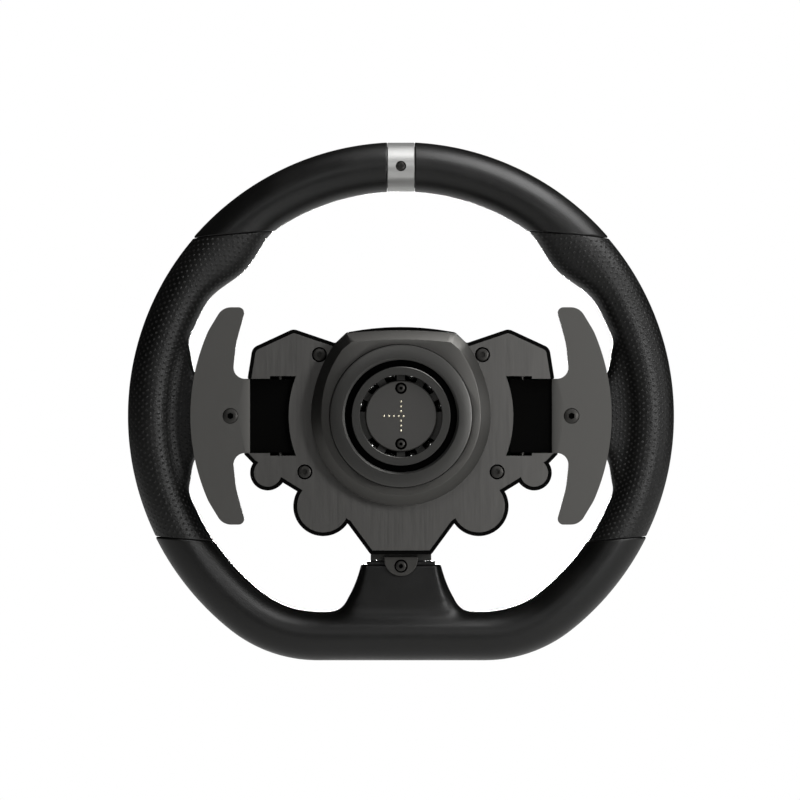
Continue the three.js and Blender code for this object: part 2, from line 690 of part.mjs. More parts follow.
function countersunkScrew() {
  const depth = PADDLE_Y[1] - PADDLE_Y[0];
  const profile = [[0, 0], [3.9, 0], [3.9, 0.15], [1.7, depth - 0.25], [1.7, 5.8], [0, 5.8]];
  return cut(turned(profile, 16), peg(0, 0, 1.7, [-1, 1.2], 6));
}

// Assembly

const wheel = new THREE.Group();

function place(parent, name, body, material, [x, y, z] = [0, 0, 0]) {
  const mesh = new THREE.Mesh(geometryOf(body), material);
  mesh.name = name;
  mesh.position.set(x, y, z);
  parent.add(mesh);
}

function assembly() {
  const group = new THREE.Group();
  wheel.add(group);
  return group;
}

const SIDES = [['right', 1], ['left', -1]];

function addRim() {
  const rim = assembly();
  const pieces = rimPieces();
  place(rim, 'rim_armature', pieces.armature, finishes.casting());
  place(rim, 'rim_foam', pieces.foam, finishes.foam());
  place(rim, 'rim_top_right', pieces.topRight, finishes.leather());
  place(rim, 'rim_top_left', pieces.topLeft, finishes.leather());
  place(rim, 'grip_right', pieces.gripRight, finishes.perforated());
  place(rim, 'grip_left', pieces.gripLeft, finishes.perforated());
  place(rim, 'rim_bottom', pieces.bottom, finishes.leather());
  place(rim, 'centre_band', pieces.band, finishes.silver());
  const bandScrewAt = [0, RIM_Y - RIM_HALF_DEPTH + 0.4, RIM_RADIUS - RIM_HALF_WIDTH];
  place(rim, 'band_screw', crossScrew(2.4, 1.3, 1.2, 10), finishes.blackSteel(), bandScrewAt);
}

function addHub() {
  const hubGroup = assembly();
  place(hubGroup, 'rear_plate', rearPlate(), finishes.brushed());
  place(hubGroup, 'hub_body', hubBody(), finishes.blackPlastic());
  place(hubGroup, 'front_bezel', frontBezel(), finishes.blackPlastic());
  place(hubGroup, 'centre_cap', centreCap(), finishes.glossPlastic());
  place(hubGroup, 'main_board', mainBoard(), finishes.board());
  place(hubGroup, 'spoke_lug', lug(), finishes.anodised());
  const lugScrewAt = [0, LUG.y[0] - 1.8, LUG.screwZ];
  place(hubGroup, 'lug_screw', capScrew(2.8, 1.5, 1.6, 15), finishes.blackSteel(), lugScrewAt);
  for (const [side, sign] of SIDES) {
    PLATE_SCREWS.forEach(([x, z]) => {
      const name = `plate_screw_${z > 0 ? 'upper' : 'lower'}_${side}`;
      place(hubGroup, name, capScrew(3.5, 1, 1.3, 16), finishes.blackSteel(), [x * sign, PLATE_Y[0] + 0.2, z]);
    });
  }
}

function addQuickRelease() {
  const release = assembly();
  place(release, 'release_boss', boss(), finishes.anodised());
  place(release, 'release_sleeve', sleeve(), finishes.anodised());
  place(release, 'release_collar', releaseCollar(), finishes.anodised());
  place(release, 'collar_spring', collarSpring(), finishes.steel());
  place(release, 'contact_block', contactBlock(), finishes.blackPlastic());
  place(release, 'contact_pins', contactPins(), finishes.gold());
  CONTACT_SCREWS.forEach((z) => {
    const name = `contact_screw_${z > 0 ? 'upper' : 'lower'}`;
    place(release, name, capScrew(2.2, 1.8, 1.1, 9), finishes.blackSteel(), [0, 3.3, z]);
  });
  ballAngles.forEach((angle, i) => {
    const name = `lock_ball_${String(i + 1).padStart(2, '0')}`;
    const ball = solid(new THREE.SphereGeometry(BALL.radius, 8, 6));
    const at = [BALL.orbit * Math.cos(rad(angle)), BALL.y, BALL.orbit * Math.sin(rad(angle))];
    place(release, name, ball, finishes.steel(), at);
  });
}

function addPaddle(side, sign) {
  const paddle = assembly();
  place(paddle, `paddle_plate_${side}`, paddlePlate(sign), finishes.anodised());
  place(paddle, `paddle_arm_${side}`, paddleArm(sign), finishes.blackPlastic());
  const screwAt = [PADDLE_SCREW_X * sign, PADDLE_Y[0] + 0.1, 0];
  place(paddle, `paddle_screw_${side}`, countersunkScrew(), finishes.blackSteel(), screwAt);
  place(paddle, `hinge_pin_${side}`, hingeBore(sign, HINGE.pinRadius, 49.6), finishes.blackSteel());
  place(paddle, `paddle_magnet_${side}`, peg(0, 0, 4, [0, 3.6], 20), finishes.steel(), [55 * sign, 36.1, 0]);
  const switchBody = block([-4, 4], [0, 2.7], [-3, 3]);
  place(paddle, `paddle_switch_${side}`, switchBody, finishes.blackPlastic(), [72 * sign, 37, 0]);
}

function addControls(side, sign) {
  const panel = assembly();
  for (const [lobe, [x, z]] of Object.entries(BUTTONS)) {
    place(panel, `button_${lobe}_${side}`, button(), finishes.glossPlastic(), [x * sign, 56, z]);
  }
  const [x, z] = [LARGE_LOBE.x * sign, LARGE_LOBE.z];
  place(panel, `dial_${side}`, dial(), finishes.blackPlastic(), [x, BEZEL_Y[1], z]);
  place(panel, `encoder_${side}`, encoder(), finishes.blackPlastic(), [x, BOARD_Y[0] - GAP, z]);
}

addRim();
addHub();
addQuickRelease();
for (const [side, sign] of SIDES) {
  addPaddle(side, sign);
  addControls(side, sign);
}

export default wheel;
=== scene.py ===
"""The looks of a detachable D-shaped racing wheel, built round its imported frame.

Everything is in metres, in the frame's own axes: the spin axis is Y, the rear of the wheel faces -Y
and the driver is at +Y. Pieces that need a finer surface than the frame's own are made here and
stand for its nodes; the others keep their mesh and get a material.
"""

import math
from contextlib import contextmanager

import bmesh
import bpy
import numpy as np
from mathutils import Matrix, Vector


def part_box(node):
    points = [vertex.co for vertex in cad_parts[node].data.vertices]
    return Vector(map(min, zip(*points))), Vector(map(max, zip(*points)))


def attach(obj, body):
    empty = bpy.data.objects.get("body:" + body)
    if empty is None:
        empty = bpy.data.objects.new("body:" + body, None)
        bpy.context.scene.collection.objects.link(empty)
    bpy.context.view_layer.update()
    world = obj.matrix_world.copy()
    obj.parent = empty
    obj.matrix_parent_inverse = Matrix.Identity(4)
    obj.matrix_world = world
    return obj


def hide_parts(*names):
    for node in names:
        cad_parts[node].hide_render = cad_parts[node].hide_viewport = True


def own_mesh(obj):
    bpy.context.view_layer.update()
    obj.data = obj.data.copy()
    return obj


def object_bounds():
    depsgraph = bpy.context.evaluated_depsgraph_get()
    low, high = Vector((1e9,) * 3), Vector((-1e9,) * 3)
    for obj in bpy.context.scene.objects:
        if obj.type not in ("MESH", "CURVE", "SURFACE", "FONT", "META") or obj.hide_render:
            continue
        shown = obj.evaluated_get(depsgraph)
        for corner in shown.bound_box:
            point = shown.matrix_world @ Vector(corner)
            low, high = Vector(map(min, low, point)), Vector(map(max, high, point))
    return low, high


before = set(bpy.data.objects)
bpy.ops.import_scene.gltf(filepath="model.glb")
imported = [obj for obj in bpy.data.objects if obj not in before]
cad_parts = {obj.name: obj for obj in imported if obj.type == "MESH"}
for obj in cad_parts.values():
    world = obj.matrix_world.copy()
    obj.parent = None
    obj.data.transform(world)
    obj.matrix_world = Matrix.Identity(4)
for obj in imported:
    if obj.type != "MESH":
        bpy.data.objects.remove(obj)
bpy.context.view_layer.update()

MM = 0.001


def low(node):
    """The least X, Y and Z of a node's box, in millimetres."""
    return [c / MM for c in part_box(node)[0]]


def high(node):
    return [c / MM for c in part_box(node)[1]]


def middle(node):
    return [c / MM for c in (Vector(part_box(node)[0]) + Vector(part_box(node)[1])) / 2]


def span(node):
    """Where a node starts and ends along the spin axis."""
    return low(node)[1], high(node)[1]


def spot(node):
    """The X and Z of a node's middle."""
    x, _, z = middle(node)
    return x, z


def circle(count):
    """The cosine and sine of each of a full turn's even steps."""
    for i in range(count):
        yield math.cos(2 * math.pi * i / count), math.sin(2 * math.pi * i / count)


# Sizes, in millimetres

RIM_RADIUS = 145.0
RIM_FLAT_Z = -129.5
RIM_CORNER_RADIUS = 74.0
RIM_HALF_WIDTH = 13.15
RIM_HALF_DEPTH = 15.5
RIM_Y = middle("rim_top_right")[1]
THUMB_REST = {"angle": 43.3, "half_span": 14.0, "height": 6.2}
FLARE_HALF_DEPTH = 9.0
BAND_HALF_WIDTH = 7.25
UPPER_SEAM = {"x": 88.4, "z": 96.0, "slope": -0.067}
LOWER_SEAM = {"x": 113.8, "z": -65.1, "slope": 0.058}
SEAM_ROLL = 0.7
GRIP_RECESS = 0.35
BAND_CREASE = 65.0

HUB_CORNERS = [
    (0, 46.9, 0), (5, 46.8, 0), (10, 46.55, 0), (15, 46.1, 0), (20, 45.5, 0), (25, 44.7, 0), (28.6, 44.1, 3),
    (34.6, 38.4, 1.5), (56.7, 45.9, 5), (78.3, 35.9, 5), (80.9, 19.4, 0), (83, -19.8, 1.5), (78, -25, 1),
    (70.2, -30, 0), (61.5, -35.6, 1), (54.3, -40, 1), (41, -47.6, 0), (28, -56.8, 1), (16.1, -72.9, 1.5),
]
LOBES = [(70.2, -30.0, 9.3), (41.0, -47.6, 15.75)]
PLATE_INSET = 2.0
NOTCH_RADIUS = 59.2

BOSS_RADIUS = 47.3
BOSS_CHAMFER = 5.4
PADDLE_RADIUS = 111.0
PADDLE_TOP_Z = 57.3
PIN_PITCH = 2.54
BALL_ANGLES = [15 + 30 * i for i in range(12) if i not in (6, 11)]
BALLS = {f"lock_ball_{number:02d}": angle for number, angle in enumerate(BALL_ANGLES, 1)}
SLEEVE_BORE = 21.6
SLEEVE_RADIUS = 25.9
SOCKET_FLOOR = 8.0
SCREW_PLACES = [(43.0, 32.3), (50.7, -29.5)]
SIDES = (("right", 1), ("left", -1))
BUTTON_PLACES = [(56, 33), (70.5, 30), (70.2, -30)]
CONTACT_SCREW_Z = 14.6
HEAD_RADIUS = {"plate": 3.35, "paddle": 3.95, "contact": 2.1, "lug": 2.8}
ARM_HALF_HEIGHT = 19.6
ARM_EDGE_X = 79.6
BALL_HOLE_RADIUS = 3.3
DIAL_RADIUS = 12.4
DIAL_FLUTES = 18
FLOOR_DROP = 0.17
FLOOR_HALF_SIZE = 1.6


# Meshes

def placed(name, data):
    """A new object in the scene."""
    piece = bpy.data.objects.new(name, data)
    bpy.context.scene.collection.objects.link(piece)
    return piece


def new_object(name, verts, faces, sharp_degrees=35.0, scale=MM):
    mesh = bpy.data.meshes.new(name)
    mesh.from_pydata([tuple(c * scale for c in v) for v in verts], [], faces)
    mesh.validate()
    tidy_shading(mesh, sharp_degrees)
    return placed(name, mesh)


def tidy_shading(mesh, sharp_degrees):
    mesh.polygons.foreach_set("use_smooth", [True] * len(mesh.polygons))
    mesh.set_sharp_from_angle(angle=math.radians(sharp_degrees))


def bevelled(piece, width, segments=3, degrees=30.0):
    bevel = piece.modifiers.new("bevel", "BEVEL")
    bevel.width = width * MM
    bevel.segments = segments
    bevel.limit_method = "ANGLE"
    bevel.angle_limit = math.radians(degrees)
    bevel.harden_normals = True
    return piece


def apply_modifiers(piece):
    graph = bpy.context.evaluated_depsgraph_get()
    mesh = bpy.data.meshes.new_from_object(piece.evaluated_get(graph))
    old = piece.data
    piece.modifiers.clear()
    piece.data = mesh
    bpy.data.meshes.remove(old)
    return piece


@contextmanager
def editing(mesh):
    """A mesh's editable form, which is written back at the end."""
    shape = bmesh.new()
    shape.from_mesh(mesh)
    yield shape
    shape.to_mesh(mesh)
    shape.free()


def merge(piece, other):
    """Adds another object's mesh to a piece's and removes that object."""
    with editing(piece.data) as both:
        both.from_mesh(other.data)
    bpy.data.objects.remove(other)


def edged(piece, width, segments=3, degrees=30):
    """Shades a carved piece again and bevels its sharp edges."""
    tidy_shading(piece.data, degrees)
    return bevelled(piece, width, segments)


def carve(piece, cutter, operation="DIFFERENCE"):
    """Cuts a tool out of a piece, or joins it on, and removes the tool."""
    boolean = piece.modifiers.new("carve", "BOOLEAN")
    boolean.operation = operation
    boolean.object = cutter
    boolean.solver = "EXACT"
    apply_modifiers(piece)
    bpy.data.objects.remove(cutter)
    return piece


def rings_between(name, rings, closed=False, sharp_degrees=35.0):
    """A skin over rings of equal length, ordered from -Y to +Y and counterclockwise as seen from -Y.
    A closed skin runs on from the last ring to the first, and an open one has a cap at each end."""
    count, last = len(rings[0]), (len(rings) - 1) * len(rings[0])
    verts = [point for ring in rings for point in ring]
    faces = [] if closed else [tuple(range(count)), tuple(range(last + count - 1, last - 1, -1))]
    for level in range(len(rings) if closed else len(rings) - 1):
        a, b = level * count, (level + 1) % len(rings) * count
        faces += [(a + i, b + i, b + (i + 1) % count, a + (i + 1) % count) for i in range(count)]
    return new_object(name, verts, faces, sharp_degrees)


def solid_between(name, first, last):
    """A closed solid between two rings of equal length, whichever way they run."""
    piece = rings_between(name, [first, last])
    with editing(piece.data) as shape:
        bmesh.ops.recalc_face_normals(shape, faces=shape.faces)
    return piece


def winding(outline):
    """1 for an outline that runs counterclockwise as seen from -Y, and -1 for one that runs clockwise."""
    sides = [(outline[i - 1], corner) for i, corner in enumerate(outline)]
    return math.copysign(1, sum(a[0] * b[1] - b[0] * a[1] for a, b in sides))


def prism(name, outline, y0, y1):
    """A closed outline of (x, z) points, standing from y0 to y1."""
    points = outline if winding(outline) > 0 else outline[::-1]
    return rings_between(name, [[(x, y, z) for x, z in points] for y in (y0, y1)])


def turned(name, profile, x=0.0, z=0.0, sides=96, sharp_degrees=35.0):
    """A solid of revolution about an axis along Y. The (radius, y) profile closes on itself."""
    verts, faces = [], []
    count = len(profile)
    for i, (cos, sin) in enumerate(circle(sides)):
        verts += [(x + r * cos, y, z + r * sin) for r, y in profile]
        here, there = i * count, (i + 1) % sides * count
        for k in range(count):
            after = (k + 1) % count
            faces.append((here + k, here + after, there + after, there + k))
    piece = new_object(name, verts, faces, sharp_degrees)
    with editing(piece.data) as shape:
        bmesh.ops.remove_doubles(shape, verts=shape.verts, dist=1e-6)
        bmesh.ops.dissolve_degenerate(shape, edges=shape.edges, dist=1e-7)
        bmesh.ops.recalc_face_normals(shape, faces=shape.faces)
    tidy_shading(piece.data, sharp_degrees)
    return piece


def peg(x, z, radius, y0, y1, sides=48):
    """A round bar along Y."""
    return turned("peg", [(0, y0), (radius, y0), (radius, y1), (0, y1)], x, z, sides)


def drill(piece, *hole):
    return carve(piece, peg(*hole))


# Outlines in X and Z

def arc(x, z, radius, start, end, steps):
    angles = np.radians(np.linspace(start, end, steps + 1))
    return [(x + radius * math.cos(a), z + radius * math.sin(a)) for a in angles]


def filleted(corners, steps=8):
    """The outline through (x, z, radius) corners, each rounded by an arc that meets its two sides."""
    outline = []
    count = len(corners)
    for i, (x, z, radius) in enumerate(corners):
        if radius == 0:
            outline.append((x, z))
            continue
        here = Vector((x, z))
        before = (Vector(corners[i - 1][:2]) - here).normalized()
        after = (Vector(corners[(i + 1) % count][:2]) - here).normalized()
        half = before.angle(after) / 2
        centre = here + (before + after).normalized() * (radius / math.sin(half))
        first = here + before * (radius / math.tan(half)) - centre
        last = here + after * (radius / math.tan(half)) - centre
        turn = first.angle_signed(last)
        for k in range(steps + 1):
            angle = math.atan2(first.y, first.x) - turn * k / steps
            outline.append((centre.x + radius * math.cos(angle), centre.y + radius * math.sin(angle)))
    return outline


def inset_corners(corners, distance):
    """The corners moved in by a distance, each along the mitre of its two sides, with their fillets."""
    moved = []
    count = len(corners)
    turn = winding(corners)
    for i, (x, z, radius) in enumerate(corners):
        into = (Vector((x, z)) - Vector(corners[i - 1][:2])).normalized()
        out = (Vector(corners[(i + 1) % count][:2]) - Vector((x, z))).normalized()
        inward = Vector((-into.y - out.y, into.x + out.x)).normalized() * turn
        mitre = distance / max(0.3, abs(inward.x * -into.y + inward.y * into.x))
        bend = -distance if into.cross(out) * turn > 0 else distance
        moved.append((x + inward.x * mitre, z + inward.y * mitre, max(0, radius + bend) if radius else 0))
    return moved


def hub(name, distance, y0, y1):
    """The hub's outline moved in by a distance: crowned top, upper lobes, flanks, round lobes and wedge."""
    whole = HUB_CORNERS + [(-x, z, r) for x, z, r in reversed(HUB_CORNERS) if x > 0]
    body = prism(name, filleted(inset_corners(whole, distance)), y0, y1)
    for x, z, radius in LOBES:
        for side in (1, -1):
            carve(body, peg(x * side, z, radius - distance, y0, y1, 128), "UNION")
    return body


def boss_outline(inward, steps=24):
    """The boss: a circle below, swelling to a crowned top with two bevelled corners."""
    radius = BOSS_RADIUS - inward
    shoulder = Vector((34.7 - 0.72 * inward, 38.2 - 0.62 * inward))
    corner = Vector((28.6 - 0.45 * inward, 43.6 - 0.9 * inward))
    right = []
    start, end = Vector((radius, 0)), shoulder
    pull = [Vector((radius, 15)), shoulder + Vector((6.5, -9))]
    for k in range(steps + 1):
        t = k / steps
        point = (1 - t) ** 3 * start + 3 * t * (1 - t) ** 2 * pull[0] + 3 * t * t * (1 - t) * pull[1] \
            + t ** 3 * end
        right.append((point.x, point.y))
    for k in range(1, 5):
        point = shoulder.lerp(corner, k / 4)
        right.append((point.x, point.y))
    for k in range(1, 13):
        t = k / 12
        right.append((corner.x * (1 - t), corner.y + 1.5 * (1 - (1 - t) ** 2)))
    below = arc(0, 0, radius, -180, 0, 64)[1:-1]
    return right + [(-x, z) for x, z in reversed(right[:-1])] + below


def paddle_outline(side):
    """A crescent: its outer edge runs round the spin axis, and its wings reach past the arm."""
    upper = [
        (ARM_EDGE_X, ARM_HALF_HEIGHT, 0.6), (88.9, ARM_HALF_HEIGHT, 6), (87, 38, 40), (81.7, PADDLE_TOP_Z, 3),
        (94, PADDLE_TOP_Z, 8), (103, 42.5, 14), (116, 20, 0),
    ]
    corners = upper + [(x, -z, r) for x, z, r in reversed(upper)]
    dense = []
    outline = filleted(corners, 10)
    for i, (x, z) in enumerate(outline):
        after = outline[(i + 1) % len(outline)]
        steps = max(1, int(math.hypot(after[0] - x, after[1] - z) / 2))
        dense += [(x + (after[0] - x) * k / steps, z + (after[1] - z) * k / steps) for k in range(steps)]
    clipped = []
    for x, z in dense:
        reach = min(1.0, PADDLE_RADIUS / math.hypot(x, z))
        clipped.append((x * reach * side, z * reach))
    return clipped


# Rim

def rim_path(count):
    """Points and outward directions at even steps along the tube's centre line, clockwise from the top."""
    radius = RIM_RADIUS - RIM_HALF_WIDTH
    corner = RIM_CORNER_RADIUS - RIM_HALF_WIDTH
    corner_z = RIM_FLAT_Z + RIM_CORNER_RADIUS
    corner_x = math.sqrt((RIM_RADIUS - RIM_CORNER_RADIUS) ** 2 - corner_z ** 2)
    meet = math.degrees(math.atan2(corner_z, corner_x))
    right = arc(0, 0, radius, 90, meet, 600) + arc(corner_x, corner_z, corner, meet, -90, 160)[1:]
    left = [(-x, z) for x, z in reversed(right)]
    flat = [(x, left[0][1]) for x in np.linspace(right[-1][0], left[0][0], 80)[1:-1]]
    dense = np.array(right + flat + left[:-1])
    closed = np.vstack([dense, dense[:1]])
    length = np.concatenate([[0], np.cumsum(np.linalg.norm(np.diff(closed, axis=0), axis=1))])
    wanted = np.linspace(0, length[-1], count, endpoint=False)
    points = np.stack([np.interp(wanted, length, closed[:, k]) for k in (0, 1)], axis=1)
    ahead = np.roll(points, -1, axis=0) - np.roll(points, 1, axis=0)
    ahead /= np.linalg.norm(ahead, axis=1)[:, None]
    return points, np.stack([-ahead[:, 1], ahead[:, 0]], axis=1)


def thumb_rest(x, z):
    offset = (math.degrees(math.atan2(z, abs(x))) - THUMB_REST["angle"]) / THUMB_REST["half_span"]
    return THUMB_REST["height"] * math.cos(offset * math.pi / 2) ** 2 if abs(offset) < 1 else 0.0


def rim_rings(count, sides):
    """Sections of the oval tube, with the thumb rests swelling on its inner side."""
    points, outward = rim_path(count)
    rings = []
    for (x, z), (ox, oz) in zip(points, outward):
        swell = thumb_rest(x, z)
        ring = []
        for cos, sin in circle(sides):
            across = (RIM_HALF_WIDTH + (swell if cos < 0 else 0)) * cos
            ring.append((x + ox * across, RIM_Y + RIM_HALF_DEPTH * sin, z + oz * across))
        rings.append(ring)
    return rings


def curve_between(start, pull, end, steps=10):
    """Points of a quadratic curve, from its start to its end."""
    points = []
    for k in range(steps + 1):
        t = k / steps
        points.append(tuple((1 - t) ** 2 * a + 2 * t * (1 - t) * b + t * t * c
                            for a, b, c in zip(start, pull, end)))
    return points


def side_flare(side):
    upper = [(91, 17), *curve_between((99, 17.2), (109.4, 18.2), (110.2, 28)), (111.6, 40), (124, 42)]
    outline = [(x * side, z) for x, z in upper] + [(x * side, -z) for x, z in reversed(upper)]
    return prism("side_flare", outline, RIM_Y - FLARE_HALF_DEPTH, RIM_Y + FLARE_HALF_DEPTH)


def lower_flare():
    """The leather of the lower spoke: a flat face between two flanks that slope back and spread."""
    edge = [*curve_between((21, -78.4), (25, -95), (34, -104.4)), (37, -112)]
    rings = []
    rear = [(-9.0, 1.0), (-8.6, 0.93), (-4.2, 0.1), (-3.6, 0.0)]
    for y, slope in rear + [(-y, slope) for y, slope in reversed(rear)]:
        right = [(x - slope * (2.2 + 0.13 * (edge[0][1] - z)), z) for x, z in edge]
        outline = [(-x, z) for x, z in right] + right[::-1]
        rings.append([(x, RIM_Y + y, z) for x, z in outline])
    return rings_between("lower_flare", rings)


def spoke_seal():
    """The raised edge of the leather, where the lower spoke goes into the hub."""
    return bevelled(box_tool((-18, 18), (RIM_Y - 8, RIM_Y + 8), (-79, -76.7)), 0.4)


def whole_cover():
    """The rim's leather in one piece: the tube and its flares, melted together and smoothed."""
    cover = rings_between("rim_cover", rim_rings(420, 56), closed=True)
    for flare, round_edge in ((side_flare(1), 5), (side_flare(-1), 5), (lower_flare(), 0.6)):
        merge(cover, apply_modifiers(bevelled(flare, round_edge, 5)))
    melt = cover.modifiers.new("melt", "REMESH")
    melt.mode = "VOXEL"
    melt.voxel_size = 1.1 * MM
    apply_modifiers(cover)
    soften(cover.data)
    return cover


def soften(mesh):
    """Evens out the melted surface, more strongly where a flare runs into the tube."""
    count = len(mesh.vertices)
    points = np.empty(count * 3)
    mesh.vertices.foreach_get("co", points)
    points = points.reshape(-1, 3)
    edges = np.empty(len(mesh.edges) * 2, dtype=int)
    mesh.edges.foreach_get("vertices", edges)
    edges = edges.reshape(-1, 2)
    degree = np.bincount(edges.ravel(), minlength=count)[:, None]
    x, z = np.abs(points[:, 0]) / MM, points[:, 2] / MM
    radius = np.hypot(x, z)
    by_side = (np.abs(z) < 46) & (radius > 103) & (radius < 124)
    by_lower = (x < 46) & (z < -97) & (z > -110)
    strength = np.where(by_side | by_lower, 1.0, 0.0)[:, None]
    everywhere = np.where((x < 23) & (z > -90) & (z < -70), 0.2, 1.0)[:, None]
    for step in range(40):
        total = np.zeros_like(points)
        np.add.at(total, edges[:, 0], points[edges[:, 1]])
        np.add.at(total, edges[:, 1], points[edges[:, 0]])
        weight = 0.5 * np.maximum(strength, everywhere if step < 6 else 0.0)
        points += (total / degree - points) * weight
    mesh.vertices.foreach_set("co", points.ravel())
    mesh.update()


def seam_plane(seam, side):
    """A point on a seam's plane and the plane's upward normal."""
    normal = Vector((-seam["slope"] * side, 0, 1)).normalized()
    return Vector((seam["x"] * side, 0, seam["z"])) * MM, normal


def cover_section(name, cover, cuts, recess=0.0):
    """A section of the cover on the positive side of each (side, point, normal) cut. A cut with a side
    stays in that half of the rim. The cut edges roll in, so that two sections meet in a tucked seam."""
    shape = bmesh.new()
    shape.from_mesh(cover.data)
    for side, point, normal in cuts:
        for step in (0.0, 0.1, 0.25, 0.45, SEAM_ROLL):
            near = [item for kind in (shape.verts, shape.edges, shape.faces) for item in kind
                    if side == 0 or half_of(item) * side > 0]
            bmesh.ops.bisect_plane(shape, geom=near, plane_co=point + normal * step * MM, plane_no=normal,
                                   clear_inner=step == 0)
    shape.normal_update()
    moves = {}
    for vert in shape.verts:
        depths = [(vert.co - point).dot(normal) for side, point, normal in cuts
                  if side == 0 or vert.co.x * side > 0]
        share = 1 - min([SEAM_ROLL, *[depth / MM for depth in depths]]) / SEAM_ROLL
        roll = SEAM_ROLL * (1 - math.sqrt(1 - min(1.0, max(0.0, share)) ** 2))
        moves[vert] = -vert.normal * (roll + recess) * MM
    for vert, move in moves.items():
        vert.co += move
    mesh = bpy.data.meshes.new(name)
    shape.to_mesh(mesh)
    shape.free()
    tidy_shading(mesh, 60)
    return placed(name, mesh)


def half_of(item):
    """The X of a vertex, or of the first vertex of an edge or a face."""
    return item.co.x if isinstance(item, bmesh.types.BMVert) else item.verts[0].co.x


def make_rim():
    cover = whole_cover()
    gap = 0.12 * MM
    bottom_cuts = []
    for word, side in SIDES:
        upper, up = seam_plane(UPPER_SEAM, side)
        lower, lower_up = seam_plane(LOWER_SEAM, side)
        band_edge = (0, Vector((side * BAND_HALF_WIDTH * MM, 0, 0)), Vector((side, 0, 0)))
        top = cover_section(f"top_leather_{word}", cover, [(0, upper + up * gap, up), band_edge])
        dress(top, smooth_leather, "wheel", "smooth_leather", f"rim_top_{word}")
        grip_cuts = [(0, upper - up * gap, -up), (0, lower + lower_up * gap, lower_up),
                     (0, Vector((side * 0.02, 0, 0)), Vector((side, 0, 0)))]
        grip = cover_section(f"grip_leather_{word}", cover, grip_cuts, GRIP_RECESS)
        dress(grip, perforated_leather, "wheel", "perforated_leather", f"grip_{word}")
        bottom_cuts.append((side, lower - lower_up * gap, -lower_up))
    bottom = cover_section("bottom_leather", cover, bottom_cuts)
    merge(bottom, apply_modifiers(spoke_seal()))
    dress(bottom, smooth_leather, "wheel", "smooth_leather", "rim_bottom")
    bpy.data.objects.remove(cover)
    make_band()


def band_crease(angle):
    """How far the band stands out at an angle from the top, with one crease below its middle on each side."""
    from_crease = abs(angle - 180) - BAND_CREASE
    before, after = max(0, 1 - from_crease / 65), max(0, 1 + from_crease / 22)
    return 0.5 * (before if from_crease > 0 else after)


def make_band():
    """The metal band at twelve o'clock, a closed sleeve with a hole for its screw."""
    edge = BAND_HALF_WIDTH - 0.15
    outer = [(-edge, 0.45), (-edge + 0.25, 0.2), (edge - 0.25, 0.2), (edge, 0.45)]
    inner = [(edge, 1.6), (-edge, 1.6)]
    rings = []
    for x, drop in outer + inner:
        centre = math.sqrt((RIM_RADIUS - RIM_HALF_WIDTH) ** 2 - x ** 2)
        ring = []
        for angle in np.linspace(0, 2 * math.pi, 193)[:-1]:
            sink = drop - band_crease(math.degrees(angle))
            ring.append((x, RIM_Y + (RIM_HALF_DEPTH - sink) * math.sin(angle),
                         centre + (RIM_HALF_WIDTH - sink) * math.cos(angle)))
        rings.append(ring)
    band = rings_between("band", rings, closed=True, sharp_degrees=25)
    rear = RIM_Y - RIM_HALF_DEPTH
    drill(band, *spot("band_screw"), 2.75, rear - 2, rear + 6)
    tidy_shading(band.data, 25)
    dress(band, silver, "wheel", "silver_band", "centre_band")


# Materials

class Nodes:
    """The nodes of a material or a world, from none."""

    def __init__(self, owner):
        owner.use_nodes = True
        self.tree = owner.node_tree
        self.tree.nodes.clear()

    def node(self, kind, *values, **named):
        """A new node, with its inputs set in order and by name."""
        node = self.tree.nodes.new(f"ShaderNode{kind}")
        for socket, value in zip(node.inputs, values):
            self.put(socket, value)
        self.name_inputs(node, named)
        return node

    def name_inputs(self, node, named):
        for name, value in named.items():
            self.put(node.inputs[name.replace("_", " ")], value)

    def put(self, target, value):
        if isinstance(value, bpy.types.NodeSocket):
            self.tree.links.new(value, target)
        else:
            target.default_value = value


